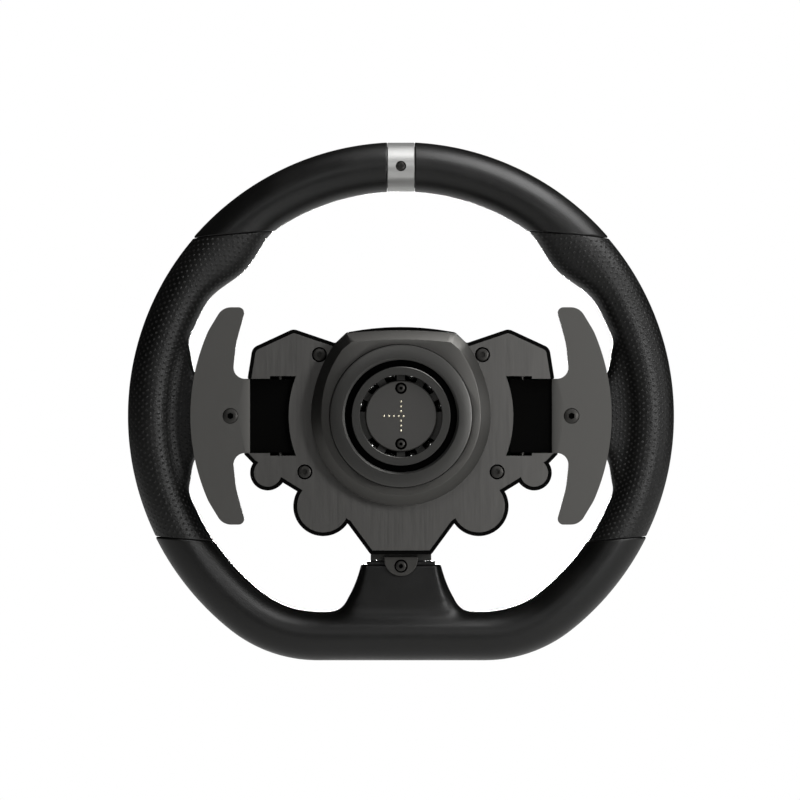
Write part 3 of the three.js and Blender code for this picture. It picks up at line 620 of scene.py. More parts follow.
class Shader(Nodes):
    """A material's nodes, with short calls for the ones used here."""

    def __init__(self, name):
        self.material = bpy.data.materials.new(name)
        super().__init__(self.material)
        self.surface = self.node("BsdfPrincipled")
        self.node("OutputMaterial", self.surface.outputs[0])
        self.place = self.node("TexCoord").outputs["Object"]

    def set(self, **named):
        self.name_inputs(self.surface, named)

    def sum(self, operation, *values):
        node = self.node("Math", *values)
        node.operation = operation
        return node.outputs[0]

    def add(self, first, second):
        return self.sum("ADD", first, second)

    def less(self, first, second):
        return self.sum("SUBTRACT", first, second)

    def times(self, first, second):
        return self.sum("MULTIPLY", first, second)

    def length(self, first, second):
        return self.sum("SQRT", self.add(self.times(first, first), self.times(second, second)))

    def axes(self):
        return self.node("SeparateXYZ", self.place).outputs

    def noise(self, scale, detail=3.0, place=None, roughness=0.5):
        return self.node("TexNoise", Vector=place or self.place, Scale=scale, Detail=detail,
                         Roughness=roughness).outputs[0]

    def cells(self, scale):
        node = self.node("TexVoronoi", Vector=self.place, Scale=scale)
        node.feature = "DISTANCE_TO_EDGE"
        return node.outputs[0]

    def stretched(self, x, y, z):
        return self.node("Mapping", Vector=self.place, Scale=(x, y, z)).outputs[0]

    def between(self, value, low_in, high_in, low_out, high_out):
        node = self.node("MapRange", value, low_in, high_in, low_out, high_out)
        node.interpolation_type = "SMOOTHSTEP"
        return node.outputs[0]

    def blend(self, share, first, second):
        node = self.node("Mix")
        node.data_type = "RGBA"
        self.put(node.inputs[0], share)
        for socket, colour in ((node.inputs[6], first), (node.inputs[7], second)):
            self.put(socket, (*colour, 1) if isinstance(colour, tuple) else colour)
        return node.outputs[2]

    def bump(self, height, distance, strength=1.0, **under):
        return self.node("Bump", Height=height, Distance=distance, Strength=strength, **under).outputs[0]

    def grained(self, grain, dark, light, rough, relief=None, tint=None, **values):
        """Colour from dark to light and roughness over a range, both by a grain, which may be raised.
        A slower tint may carry the colour instead."""
        if relief:
            values["Normal"] = self.bump(grain, *relief)
        self.set(Base_Color=self.blend(tint or grain, dark, light),
                 Roughness=self.between(grain, 0.3, 0.7, *rough), **values)


MATERIALS = {}


def shader(build):
    """Makes a material once, by the function that it decorates and under that function's name."""
    def fetch():
        name = build.__name__
        if name not in MATERIALS:
            nodes = Shader(name)
            build(nodes)
            MATERIALS[name] = nodes.material
        return MATERIALS[name]
    return fetch


def leather_grain(nodes):
    """Fine pebbles and pores, broken up by slower creases."""
    pebbles = nodes.between(nodes.cells(1500), 0.0, 0.25, 0.0, 1.0)
    pores = nodes.noise(2600, 4.0)
    creases = nodes.noise(260, 5.0, roughness=0.62)
    return nodes.add(nodes.times(pebbles, 0.45),
                     nodes.add(nodes.times(pores, 0.25), nodes.times(creases, 0.5)))


def leather_colour(nodes, broad):
    share = nodes.between(broad, 0.3, 0.7, 0.0, 1.0)
    return nodes.blend(share, (0.0024, 0.0024, 0.0022), (0.0040, 0.0039, 0.0036))


@shader
def smooth_leather(nodes):
    grain = leather_grain(nodes)
    broad = nodes.noise(38, 3.0)
    rough = nodes.add(nodes.between(broad, 0.3, 0.7, 0.31, 0.37), nodes.times(grain, 0.05))
    nodes.set(Base_Color=leather_colour(nodes, broad), Roughness=rough, Specular_IOR_Level=0.4,
              Normal=nodes.bump(grain, 0.00009, 0.5))


def perforations(nodes):
    """The distance to the nearest hole's middle, in metres, in staggered rows that run along the tube."""
    pitch, row = 3.5 * MM, 2.1 * MM
    centre = (RIM_RADIUS - RIM_HALF_WIDTH) * MM
    x, y, z = nodes.axes()
    along = nodes.times(nodes.sum("ARCTAN2", z, x), centre / pitch)
    reach = nodes.length(x, z)
    depth, rise = nodes.less(reach, centre), nodes.less(y, RIM_Y * MM)
    kept = nodes.sum("MAXIMUM", depth, -13 * MM)
    on_flare = nodes.times(nodes.sum("SIGN", rise), nodes.less(kept, depth))
    round_tube = nodes.times(nodes.sum("ARCTAN2", rise, kept), 14.3 * MM)
    girth = nodes.sum("DIVIDE", nodes.add(round_tube, on_flare), row)
    odd = nodes.sum("PINGPONG", nodes.sum("FLOOR", girth), 1.0)
    shifted = nodes.add(along, nodes.times(odd, 0.5))
    u = nodes.times(nodes.less(nodes.sum("FRACT", shifted), 0.5), pitch)
    v = nodes.times(nodes.less(nodes.sum("FRACT", girth), 0.5), row)
    return nodes.length(u, v)


@shader
def perforated_leather(nodes):
    """Leather with small holes, each with a slightly raised lip. The lips' paler colour is a painted
    highlight, and the holes' near-black colour is painted shade.
    """
    grain = leather_grain(nodes)
    distance = perforations(nodes)
    hole = nodes.between(distance, 0.16 * MM, 0.34 * MM, 1.0, 0.0)
    lip = nodes.less(nodes.between(distance, 0.3 * MM, 0.75 * MM, 1.0, 0.0), hole)
    broad = nodes.noise(45, 3.0)
    # Painted highlight: the lips are paler than the leather round them.
    lip_highlighted = nodes.blend(lip, leather_colour(nodes, broad), (0.013, 0.013, 0.012))
    relief = nodes.less(nodes.times(lip, 0.35), hole)
    # Painted shade: the holes are near black.
    nodes.set(Base_Color=nodes.blend(hole, lip_highlighted, (0.0008, 0.0008, 0.0008)), Specular_IOR_Level=0.4,
              Roughness=nodes.add(nodes.between(broad, 0.3, 0.7, 0.34, 0.40), nodes.times(hole, 0.3)),
              Normal=nodes.bump(grain, 0.00012, 0.6, Normal=nodes.bump(relief, 0.0006)))


def brushed(nodes, dark, light, scale, rough):
    """Fine parallel scratches along Z, in colour, roughness and relief."""
    place = nodes.stretched(1, 1, 0.02)
    fine = nodes.noise(scale, 6.0, place, 0.7)
    wide = nodes.noise(scale / 4, 3.0, place, 0.6)
    mix = nodes.add(nodes.times(fine, 0.8), nodes.times(wide, 0.2))
    colour = nodes.blend(nodes.between(mix, 0.36, 0.64, 0.0, 1.0), dark, light)
    nodes.set(Base_Color=colour, Metallic=1.0, Anisotropic=0.3,
              Roughness=nodes.between(mix, 0.35, 0.65, rough - 0.03, rough + 0.03),
              Normal=nodes.bump(mix, 0.00004, 0.08))


@shader
def brushed_plate(nodes):
    brushed(nodes, (0.142, 0.139, 0.134), (0.152, 0.149, 0.143), 2600, 0.39)


@shader
def brushed_paddle(nodes):
    brushed(nodes, (0.108, 0.106, 0.101), (0.116, 0.114, 0.109), 2800, 0.6)


@shader
def anodised(nodes):
    """Satin anodised aluminium, with a very fine upright grain and darker mottling."""
    place = nodes.stretched(1, 1, 0.12)
    nodes.grained(nodes.noise(2200, 4.0, place, 0.6), (0.086, 0.084, 0.080), (0.098, 0.096, 0.091),
                  (0.36, 0.46), (0.00003, 0.35), nodes.noise(30, 3.0), Metallic=1.0)


@shader
def turned_metal(nodes):
    """Lathe-turned aluminium, with painted shade: the deep gap between the collar and the sleeve is painted
    black.
    """
    x, _, z = nodes.axes()
    radius = nodes.length(x, z)
    marks = nodes.noise(9000, 2.0, nodes.node("CombineXYZ", radius).outputs[0])
    colour = nodes.blend(nodes.noise(40, 2.0), (0.074, 0.073, 0.070), (0.083, 0.082, 0.079))
    outside = nodes.sum("GREATER_THAN", nodes.less(radius, SLEEVE_RADIUS * MM), 0.00002)
    inside = nodes.sum("LESS_THAN", radius, 29.35 * MM)
    # Painted shade: the faces between the sleeve's outside and the collar's inside are painted black.
    groove_shade = nodes.times(outside, inside)
    nodes.grained(marks, colour, (0.002, 0.002, 0.002), (0.34, 0.44), (0.00003, 0.4), groove_shade, Metallic=1.0)


@shader
def shaded_neck_metal(nodes):
    """The satin metal of the hub's neck, under the plate's lower edge, darker than the anodised metal as
    painted shade.
    """
    nodes.grained(nodes.noise(900, 2.0), (0.050, 0.050, 0.048), (0.060, 0.060, 0.057), (0.42, 0.5),
                  Metallic=1.0)


@shader
def silver(nodes):
    nodes.grained(nodes.noise(1800, 4.0, nodes.stretched(0.05, 1, 1), 0.6), (0.43, 0.43, 0.425),
                  (0.52, 0.52, 0.51), (0.36, 0.44), (0.00003, 0.3), Metallic=0.75)


@shader
def black_plastic(nodes):
    """Moulded plastic with a fine spark-eroded texture."""
    nodes.grained(nodes.noise(2400, 5.0, roughness=0.65), (0.0007, 0.0007, 0.0006), (0.0012, 0.0012, 0.0011),
                  (0.42, 0.56), (0.00006, 0.5), nodes.noise(60, 2.0), Specular_IOR_Level=0.04)


@shader
def satin_plastic(nodes):
    """The front's moulded plastic, a little paler and smoother than the body's."""
    nodes.grained(nodes.noise(2200, 5.0, roughness=0.65), (0.0075, 0.0075, 0.0072), (0.0105, 0.0105, 0.0100),
                  (0.38, 0.48), (0.00006, 0.4), nodes.noise(60, 2.0))


@shader
def black_rubber(nodes):
    """The soft-touch coating of the paddle arms, which hardly reflects."""
    nodes.grained(nodes.noise(2600, 5.0, roughness=0.65), (0.0006, 0.0006, 0.0005), (0.0010, 0.0010, 0.0009),
                  (0.7, 0.85), (0.00006, 0.5), Specular_IOR_Level=0.04)


@shader
def gloss_plastic(nodes):
    smears = nodes.noise(90, 4.0)
    nodes.set(Base_Color=nodes.blend(smears, (0.004, 0.004, 0.004), (0.007, 0.007, 0.007)),
              Roughness=nodes.between(smears, 0.35, 0.65, 0.16, 0.26),
              Normal=nodes.bump(nodes.noise(1500, 3.0), 0.00002, 0.2))


@shader
def contact_plastic(nodes):
    nodes.grained(nodes.noise(2600, 5.0, roughness=0.65), (0.030, 0.029, 0.027), (0.042, 0.040, 0.037),
                  (0.5, 0.62), (0.00005, 0.4))


@shader
def black_screw(nodes):
    nodes.grained(nodes.noise(3000, 4.0), (0.040, 0.039, 0.037), (0.055, 0.053, 0.050), (0.36, 0.46),
                  (0.00004, 0.4), Metallic=0.9)


@shader
def painted_shade_black(nodes):
    """Painted shade: the black given to the inside of a recess or a pocket, where shade falls."""
    colour = nodes.blend(nodes.noise(1500, 2.0), (0.0006, 0.0006, 0.0006), (0.0012, 0.0012, 0.0012))
    nodes.set(Base_Color=colour, Roughness=0.9, Specular_IOR_Level=0.05)


@shader
def polished_steel(nodes):
    scuffs = nodes.noise(500, 5.0)
    nodes.set(Base_Color=nodes.blend(scuffs, (0.55, 0.55, 0.54), (0.68, 0.68, 0.67)), Metallic=1.0,
              Roughness=nodes.between(scuffs, 0.35, 0.65, 0.10, 0.2))


@shader
def contact_gold(nodes):
    nodes.grained(nodes.noise(1500, 3.0), (0.80, 0.72, 0.52), (0.92, 0.86, 0.70), (0.22, 0.34), Metallic=0.9)


@shader
def cast_metal(nodes):
    nodes.grained(nodes.noise(900, 6.0, roughness=0.7), (0.02, 0.02, 0.02), (0.035, 0.035, 0.034),
                  (0.5, 0.66), (0.0001, 0.6), Metallic=0.6)


@shader
def solder_mask(nodes):
    traces = nodes.cells(180)
    copper = nodes.between(traces, 0.02, 0.05, 1.0, 0.0)
    nodes.set(Base_Color=nodes.blend(copper, (0.006, 0.03, 0.012), (0.012, 0.055, 0.022)), Roughness=0.35,
              Normal=nodes.bump(copper, 0.00004, 0.5))


@shader
def foam(nodes):
    bubbles = nodes.cells(1200)
    nodes.set(Base_Color=nodes.blend(bubbles, (0.02, 0.02, 0.02), (0.04, 0.04, 0.04)), Roughness=0.9,
              Normal=nodes.bump(bubbles, 0.0002, 0.6))


# Pieces that stand for a node, and nodes that keep their mesh

def dress(piece, material, body, slot, *nodes):
    piece.data.materials.clear()
    piece.data.materials.append(material())
    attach(piece, body)
    if nodes:
        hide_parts(*nodes)
    return piece


def blacken(piece, inside, material=None):
    """Gives the painted shade black, or another material, to the faces whose middle, in mm, passes a test."""
    piece.data.materials.append((material or painted_shade_black)())
    for face in piece.data.polygons:
        if inside(*(face.center / MM)):
            face.material_index = 1


def clothe(node, material, bevel=0.25):
    """Gives a CAD node its material and a small bevel on its sharp edges."""
    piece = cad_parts[node]
    while len(piece.material_slots) < 1:
        piece.data.materials.append(None)
    for slot in piece.material_slots:
        slot.link = "OBJECT"
        slot.material = material()
    if bevel:
        flat = piece.modifiers.new("flat", "DECIMATE")
        flat.decimate_type = "DISSOLVE"
        flat.angle_limit = math.radians(1)
        bevelled(piece, bevel, 2, 35)


# Hub

def make_hub():
    plate_y = span("rear_plate")
    plate = hub("plate", PLATE_INSET, *plate_y)
    drill(plate, 0, 0, 30, plate_y[0] - 1, plate_y[1] + 1, 96)
    for side in (1, -1):
        carve(plate, notch(side, plate_y))
        for x, z in SCREW_PLACES:
            drill(plate, x * side, z, 4.0, plate_y[0] - 1, plate_y[1] + 1)
    edged(plate, 1.0, 1)
    dress(plate, brushed_plate, "wheel", "brushed_metal", "rear_plate")
    make_shell(plate_y)


def notch(side, plate_y):
    """The window in the plate over a paddle's arm, with a small step in its long sides."""
    half = math.degrees(math.asin(21 / NOTCH_RADIUS))
    inner = arc(0, 0, NOTCH_RADIUS, -half, half, 24)
    outline = inner + [(69, 21), (69, ARM_HALF_HEIGHT), (100, ARM_HALF_HEIGHT),
                       (100, -ARM_HALF_HEIGHT), (69, -ARM_HALF_HEIGHT), (69, -21)]
    return prism("notch", [(x * side, z) for x, z in outline], plate_y[0] - 1, plate_y[1] + 1)


def make_shell(plate_y):
    """The black body seen round the plate: a rounded rim that the plate lies in, walls and a neck."""
    y0, y1 = span("hub_body")
    body = hub("shell", 0, y0, y1)
    carve(body, hub("tool", PLATE_INSET - 0.3, y0 - 1, plate_y[1] + 0.3))
    carve(body, hub("tool", 3.2, plate_y[1], y1 - 2.5))
    carve(body, box_tool((-16, 16), (35, y1 - 2.6), (low("hub_body")[2], -72)), "UNION")
    for side in (1, -1):
        carve(body, box_tool((72 * side, 92 * side), (20, 39.4), (-20, 20)))
        carve(body, box_tool((72 * side, 92 * side), (39, 48.6), (-11.6, 11.6)))
    carve(body, box_tool((-12.6, 12.6), (39.4, 48.6), (-80, -60)))
    edged(body, 0.5)
    dress(body, black_plastic, "wheel", "black_plastic", "hub_body")
    # Painted shade: the neck under the plate's lower edge gets the darkened metal.
    blacken(body, lambda x, y, z: abs(x) < 15.9 and z < -68.5 and y < 39, shaded_neck_metal)


def box_tool(xs, ys, zs):
    x0, x1 = sorted(xs)
    return prism("tool", [(x0, zs[0]), (x1, zs[0]), (x1, zs[1]), (x0, zs[1])], *ys)


# Quick release

def make_boss():
    y0, y2 = span("release_boss")
    levels = [
        (BOSS_CHAMFER + 0.5, y0), (BOSS_CHAMFER, y0 + 0.12), (BOSS_CHAMFER - 0.35, y0 + 0.45),
        (0.35, y0 + 5.2), (0.05, y0 + 5.6), (0, y0 + 6.2), (0, y2),
    ]
    rings = [[(x, y, z) for x, z in boss_outline(inward)] for inward, y in levels]
    boss = rings_between("boss", rings, sharp_degrees=24)
    bore = high("release_collar")[0] + 0.3
    drill(boss, 0, 0, bore, y0 - 1, y2 - 2.2, 160)
    drill(boss, 0, 0, 26.8, y0 - 1, y2 + 1, 96)
    tidy_shading(boss.data, 24)
    dress(boss, anodised, "wheel", "anodised_metal", "release_boss")


def make_release():
    outer = high("release_collar")[0]
    rear, front = span("release_collar")
    collar = turned("collar", [
        (30.6, rear), (outer - 0.9, rear), (outer - 0.25, rear + 0.25), (outer, rear + 0.9), (outer, front),
        (26.2, front), (26.2, rear + 3), (29.3, rear + 3), (29.3, rear + 1.1), (29.5, rear + 0.6),
    ], sides=200, sharp_degrees=28)
    dress(collar, turned_metal, "release_collar", "anodised_metal", "release_collar")
    make_sleeve()
    make_contacts()
    make_spring()
    for node in BALLS:
        clothe(node, polished_steel, 0)
        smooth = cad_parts[node].modifiers.new("round", "SUBSURF")
        smooth.levels = smooth.render_levels = 2


def make_spring():
    """The collar's coil spring, which is pressed flatter as the collar slides."""
    y0, y1 = span("collar_spring")
    wire, turns, steps, sides = 0.7, 4, 72, 10
    coil = high("collar_spring")[0] - wire
    rings = []
    for i in range(turns * steps + 1):
        angle = 2 * math.pi * i / steps
        rise = y0 + wire + (y1 - y0 - 2 * wire) * i / (turns * steps)
        rings.append([((coil + wire * cos) * math.cos(angle), rise + wire * sin,
                       (coil + wire * cos) * math.sin(angle)) for cos, sin in circle(sides)])
    spring = rings_between("coil_spring", rings, sharp_degrees=60)
    dress(spring, polished_steel, "wheel", "bright_steel", "collar_spring")
    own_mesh(spring)


def make_sleeve():
    """The socket: a flat rear ring, a floor round the contact block and a pocket for each ball."""
    y1 = high("release_sleeve")[1]
    sleeve = turned("sleeve", [
        (SLEEVE_BORE + 0.25, 0), (SLEEVE_RADIUS - 0.3, 0), (SLEEVE_RADIUS, 0.3), (SLEEVE_RADIUS, 30),
        (38, 30), (38, y1), (18.9, y1), (18.9, SOCKET_FLOOR), (SLEEVE_BORE, SOCKET_FLOOR),
        (SLEEVE_BORE, 0.25),
    ], sides=192, sharp_degrees=28)
    for node, angle in BALLS.items():
        carve(sleeve, pocket(angle))
        carve(sleeve, ball_hole(angle, middle(node)[1]))
    tidy_shading(sleeve.data, 28)
    dress(sleeve, turned_metal, "wheel", "anodised_metal", "release_sleeve")
    # Painted shade: the walls and floors of the balls' pockets are painted black.
    blacken(sleeve, in_pocket)


def at_angle(angle, out, across, y):
    """The point that is a distance out from the spin axis at an angle, and a distance across from there."""
    turn = math.radians(angle)
    return out * math.cos(turn) - across * math.sin(turn), y, out * math.sin(turn) + across * math.cos(turn)


def pocket(angle):
    """A ball's pocket, cut through the socket's floor and into its wall."""
    half = [(18.2, -2.4), (19.2, -2.9), (21.2, -3.3), (23.5, -3.3), (25.2, -1.5)]
    outline = [at_angle(angle, *point, 0)[::2] for point in half + [(r, -t) for r, t in reversed(half)]]
    return prism("pocket", outline, 2.6, 20)


def ball_hole(angle, y):
    """The radial hole in the socket's wall that a ball slides in."""
    bore = arc(0, 0, BALL_HOLE_RADIUS, 0, 360, 32)[:-1]
    return solid_between("ball_hole", *[[at_angle(angle, out, t, y + up) for t, up in bore]
                                        for out in (20.5, 27)])


def in_pocket(x, y, z):
    """Whether a point of the sleeve is on the wall or the floor of a ball's pocket."""
    radius, angle = math.hypot(x, z), math.degrees(math.atan2(z, x)) % 360
    beside = min(abs((angle - ball + 180) % 360 - 180) for ball in BALL_ANGLES)
    below = y > SOCKET_FLOOR + 0.05 or radius > SLEEVE_BORE + 0.05
    return 2.5 < y < 20.1 and 18 < radius < 25.8 and below and beside * radius * math.pi / 180 < 3.4


def pin_places():
    row = [(step * PIN_PITCH, 0) for step in (-3.5, -2.5, -1.5, -0.5, 0.5)]
    column = [(0, step * PIN_PITCH) for step in (-3, -2, -1, 1, 2, 3)]
    return row + column


def make_contacts():
    y0 = low("contact_block")[1]
    radius = high("contact_block")[0]
    block = turned("contacts", [
        (0, y0), (radius - 0.5, y0), (radius, y0 + 0.5), (radius, y0 + 22), (0, y0 + 22),
    ], sides=160)
    for z in (CONTACT_SCREW_Z, -CONTACT_SCREW_Z):
        drill(block, 0, z, 3.05, y0 - 1, y0 + 2.4)
    edged(block, 0.12, 2, degrees=28)
    dress(block, contact_plastic, "wheel", "contact_plastic", "contact_block")
    # Painted shade: the counterbores round the contact screws are painted black.
    blacken(block, lambda x, y, z: y > y0 + 0.2 and math.hypot(x, abs(z) - CONTACT_SCREW_Z) < 3.1)
    verts, faces = [], []
    for x, z in pin_places():
        dome = [(0.55, y0 + 2), (0.55, y0 - 0.12), (0.48, y0 - 0.24), (0.3, y0 - 0.3), (0.0, y0 - 0.32)]
        base = len(verts)
        for i, (cos, sin) in enumerate(circle(20)):
            verts += [(x + r * cos, y, z + r * sin) for r, y in dome]
            here, there = base + i * 5, base + (i + 1) % 20 * 5
            faces += [(here + k, here + k + 1, there + k + 1, there + k) for k in range(4)]
    pins = new_object("pins", verts, faces, 50)
    dress(pins, contact_gold, "wheel", "contact_gold", "contact_pins")


# Screws

def socket_screw(node, head, x, z, body="wheel", sunk=False, dark=True):
    """A hexagon socket screw: a domed or sunk head with a soft edge and a deep recess, which holds painted
    shade unless dark is false.
    """
    y0, y1 = span(node)
    if sunk:
        profile = [(0, y0), (head - 0.25, y0), (head, y0 + 0.2), (2.2, y0 + 2.4), (2.2, y1), (0, y1)]
    else:
        profile = [(0, y0), (head - 0.7, y0), (head - 0.2, y0 + 0.2), (head, y0 + 0.6), (head, y0 + 1.3),
                   (head * 0.55, y0 + 1.3), (head * 0.55, y1), (0, y1)]
    screw = turned(f"{node}_head", profile, x, z, 56, 40)
    recess = head * 0.44
    carve(screw, prism("recess", arc(x, z, recess, 30, 390, 6)[:-1], y0 - 1, y0 + 1.6))
    tidy_shading(screw.data, 40)
    dress(screw, black_screw, body, "black_screw", node)
    # Painted shade: the recess's walls and floor are painted black.
    if dark:
        blacken(screw, lambda px, py, pz: math.hypot(px - x, pz - z) < recess and y0 + 0.2 < py < y0 + 2)


def make_lug():
    y0, y1 = span("spoke_lug")
    top, radius = high("spoke_lug")[2], high("spoke_lug")[0]
    centre = low("spoke_lug")[2] + radius
    lug = prism("lug", [(radius, top), (-radius, top), *arc(0, centre, radius, 180, 360, 48)], y0, y1)
    screw_z = spot("lug_screw")[1]
    drill(lug, 0, screw_z, 3.3, y0 - 1, y0 + 0.7)
    edged(lug, 0.4, 2)
    dress(lug, anodised, "wheel", "anodised_metal", "spoke_lug")
    # Painted shade: the counterbore round the lug's screw is painted black.
    blacken(lug, lambda x, y, z: y > y0 + 0.1 and math.hypot(x, z - screw_z) < 3.35)


def make_screws():
    for word, side in SIDES:
        for place, (x, z) in zip(("upper", "lower"), SCREW_PLACES):
            socket_screw(f"plate_screw_{place}_{word}", HEAD_RADIUS["plate"], x * side, z, dark=False)
        node = f"paddle_screw_{word}"
        socket_screw(node, HEAD_RADIUS["paddle"], spot(node)[0], 0, f"paddle_{word}", sunk=True)
    for place, z in (("upper", CONTACT_SCREW_Z), ("lower", -CONTACT_SCREW_Z)):
        socket_screw(f"contact_screw_{place}", HEAD_RADIUS["contact"], 0, z)
    socket_screw("lug_screw", HEAD_RADIUS["lug"], *spot("lug_screw"))
    make_band_screw()


def make_band_screw():
    y0, y1 = span("band_screw")
    z = spot("band_screw")[1]
    screw = turned("band_screw_head", [
        (0, y0), (1.2, y0 + 0.03), (2.1, y0 + 0.2), (2.4, y0 + 0.5), (2.4, y0 + 1.3), (1.2, y0 + 1.3),
        (1.2, y1), (0, y1),
    ], 0, z, 48, 40)
    carve(screw, box_tool((-1.5, 1.5), (y0 - 1, y0 + 0.8), (z - 0.33, z + 0.33)))
    carve(screw, box_tool((-0.33, 0.33), (y0 - 1, y0 + 0.8), (z - 1.5, z + 1.5)))
    tidy_shading(screw.data, 40)
    dress(screw, black_screw, "wheel", "black_screw", "band_screw")


# Paddles

def make_paddles():
    for word, side in SIDES:
        node = f"paddle_plate_{word}"
        y0, y1 = span(node)
        plate = prism(f"paddle_{word}_blade", paddle_outline(side), y0, y1)
        carve(plate, turned("sink", [
            (0, y0 - 1), (4.15, y0 - 1), (4.15, y0 + 0.4), (2.3, y0 + 2.6), (2.3, y1 + 1), (0, y1 + 1),
        ], spot(f"paddle_screw_{word}")[0], 0, 48))
        carve(plate, edge_bevel(side, y0))
        edged(plate, 0.4)
        dress(plate, brushed_paddle, f"paddle_{word}", "paddle_metal", node)
        clothe(f"paddle_arm_{word}", black_rubber, 0.3)


def edge_bevel(side, y0):
    """A tool that bevels the straight inner edge of a paddle, beside its arm."""
    edge, width, depth = ARM_EDGE_X, 1.6, 0.55
    corner = [(edge - 1, y0 - 1), (edge + width, y0 - 1), (edge + width, y0), (edge, y0 + depth),
              (edge - 1, y0 + depth)]
    return solid_between("edge_bevel", *[[(x * side, y, z) for x, y in corner] for z in (-19.2, 19.2)])


# Front

def make_front():
    make_bezel()
    make_cap()
    for word, side in SIDES:
        for lobe in ("upper", "outer", "lower"):
            make_button(f"button_{lobe}_{word}")
        make_dial(f"dial_{word}")


def make_bezel():
    """The front panel, with a shallow dish round the cap, each button and each dial."""
    y0, y1 = span("front_bezel")
    bezel = hub("bezel", 0.6, y0, y1)
    drill(bezel, 0, 0, 16, y0 - 1, y1 + 1, 64)
    drill(bezel, 0, 0, 23.4, y1 - 0.6, y1 + 1, 96)
    for side in (1, -1):
        for x, z in BUTTON_PLACES:
            drill(bezel, x * side, z, 5.8, y0 - 1, y1 + 1)
            drill(bezel, x * side, z, 7.2, y1 - 0.7, y1 + 1)
        x, z = LOBES[1][:2]
        drill(bezel, x * side, z, 4, y0 - 1, y1 + 1)
        drill(bezel, x * side, z, 13.6, y1 - 0.7, y1 + 1, 96)
    edged(bezel, 0.35)
    dress(bezel, satin_plastic, "wheel", "black_plastic", "front_bezel")


def make_cap():
    """The blank cap in the middle of the front: a low dome inside a ring."""
    y0, y1 = span("centre_cap")
    seat = high("front_bezel")[1] + 0.3
    cap = turned("cap", [
        (0, y0), (15.6, y0), (15.6, seat), (21.7, seat), (22, seat + 0.3), (22, seat + 1.7),
        (21.7, seat + 2.2),
        (20.7, seat + 2.9), (20.3, seat + 3), (19.9, seat + 2.8), (19.3, seat + 2.8), (18.9, seat + 3.1),
        (15, y1 - 0.75), (10, y1 - 0.3), (5, y1 - 0.07), (0, y1),
    ], sides=128)
    dress(cap, gloss_plastic, "wheel", "button_plastic", "centre_cap")


def make_button(node):
    """A round button with a dished face, on its stem."""
    y0, y1 = span(node)
    x, z = spot(node)
    button = turned(f"{node}_cap", [
        (0, y0), (2.2, y0), (2.2, y1 - 5.7), (5.35, y1 - 5.7), (5.35, y1 - 0.8), (5.2, y1 - 0.3),
        (4.85, y1 - 0.05), (4.4, y1), (4, y1 - 0.12), (2.4, y1 - 0.42), (0, y1 - 0.52),
    ], x, z, 64)
    dress(button, gloss_plastic, node, "button_plastic", node)


def make_dial(node):
    """A fluted knob with a turned face and a pointer notch, on its shaft."""
    y0, y1 = span(node)
    x, z = spot(node)
    radius = DIAL_RADIUS
    knob = turned(f"{node}_knob", [
        (0, y0), (3, y0), (3, y1 - 9), (radius, y1 - 9), (radius, y1 - 1.3), (radius - 0.4, y1 - 0.6),
        (radius - 1.2, y1 - 0.1), (radius - 2, y1), (radius - 2.6, y1 - 0.3), (radius - 3, y1 - 0.8),
        (0, y1 - 0.8),
    ], x, z, 108)
    for i in range(DIAL_FLUTES):
        angle = math.radians(360 / DIAL_FLUTES * (i + 0.5))
        flute = (x + (radius + 0.5) * math.cos(angle), z + (radius + 0.5) * math.sin(angle))
        drill(knob, *flute, 1.25, y1 - 7.4, y1 + 1, 24)
    carve(knob, box_tool((x - 0.6, x + 0.6), (y1 - 1.5, y1 + 1), (z + 5, z + radius - 0.6)))
    edged(knob, 0.15, 2)
    dress(knob, satin_plastic, node, "black_plastic", node)


# Stage

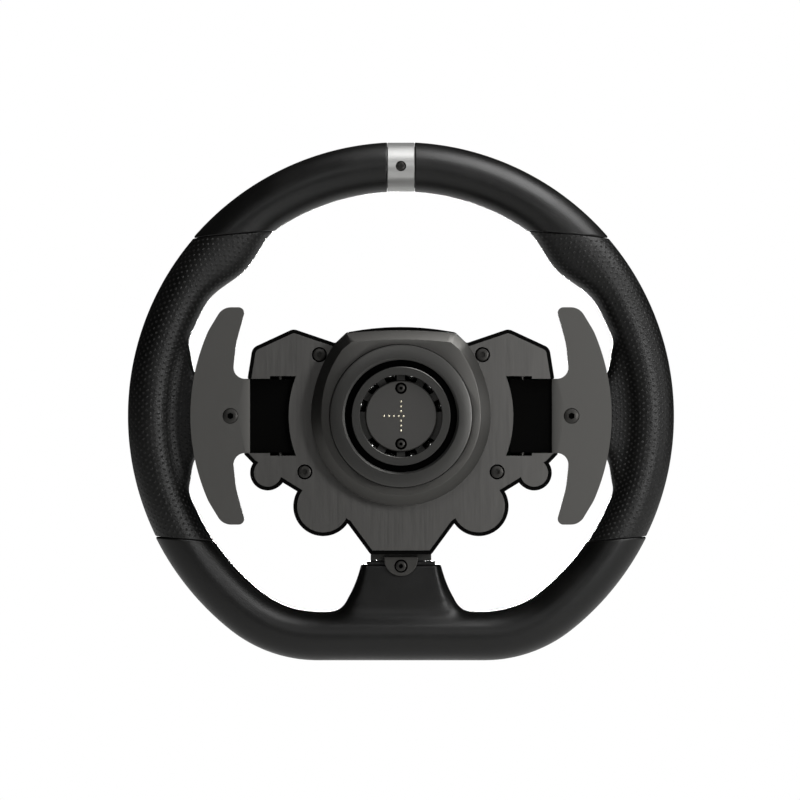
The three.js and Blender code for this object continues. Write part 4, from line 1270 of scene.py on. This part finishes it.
def make_stage():
    scene = bpy.context.scene
    scene.view_settings.view_transform = "Standard"
    scene.world = bpy.data.worlds.new("studio")
    world = Nodes(scene.world)
    light = world.node("Background", Strength=0.02)
    seen = world.node("Background", (1, 1, 1, 1), 1.0)
    by_camera = world.node("LightPath").outputs["Is Camera Ray"]
    mix = world.node("MixShader", by_camera, light.outputs[0], seen.outputs[0])
    world.node("OutputWorld", mix.outputs[0])
    make_floor()
    for name, place, size, power in (
        ("key", (0.5, -0.25, 0.95), 1.0, 16),
        ("above_camera", (-0.15, -1.45, 0.6), 0.6, 2.0),
        ("right", (0.45, -0.62, 0.05), 0.3, 2.2),
        ("far_right", (1.0, -0.12, 0.1), 0.6, 1.2),
        ("top", (0.0, 0.13, 1.2), 0.6, 1.0),
        ("driver_side", (0.0, 2.3, 0.1), 0.35, 36),
    ):
        add_light(name, place, size, power)


def make_floor():
    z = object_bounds()[0][2] - FLOOR_DROP
    size = FLOOR_HALF_SIZE
    floor = new_object("floor", [(-size, -size, z), (size, -size, z), (size, size, z), (-size, size, z)],
                       [(0, 1, 2, 3)], scale=1)
    nodes = Shader("pale_floor")
    mottle = nodes.noise(6, 3.0)
    nodes.set(Base_Color=nodes.blend(mottle, (0.36, 0.36, 0.355), (0.38, 0.38, 0.375)), Roughness=0.8,
              Emission_Color=(1, 1, 0.99, 1), Emission_Strength=0.3)
    floor.data.materials.append(nodes.material)


def add_light(name, place, size, power):
    """A round softbox aimed at the wheel."""
    data = bpy.data.lights.new(name, "AREA")
    data.shape = "DISK"
    data.size = size
    data.energy = power
    lamp = placed(name, data)
    lamp.location = place
    lamp.rotation_euler = (Vector((0, 0.03, 0)) - Vector(place)).to_track_quat("-Z", "Y").to_euler()


def make_camera():
    """Straight at the rear of the wheel, from far away through a long lens."""
    data = bpy.data.cameras.new("camera")
    data.lens = 350
    data.sensor_width = 36
    data.clip_end = 50
    view_width = 0.4236
    camera = placed("camera", data)
    camera.location = (-0.0005, RIM_Y * MM - view_width * data.lens / data.sensor_width, 0.0084)
    camera.rotation_euler = (math.pi / 2, 0, 0)
    bpy.context.scene.camera = camera


def clothe_the_rest():
    """Nodes whose own shape is right."""
    clothe("main_board", solder_mask, 0)
    clothe("rim_armature", cast_metal, 0.5)
    clothe("rim_foam", foam, 0)
    for word in ("right", "left"):
        for part, material, bevel in (
            ("hinge_pin", black_screw, 0.1), ("paddle_magnet", polished_steel, 0.2),
            ("paddle_switch", gloss_plastic, 0.2), ("encoder", black_plastic, 0.2),
        ):
            clothe(f"{part}_{word}", material, bevel)


make_camera()
make_stage()
make_rim()
make_hub()
make_boss()
make_lug()
make_release()
make_screws()
make_paddles()
make_front()
clothe_the_rest()
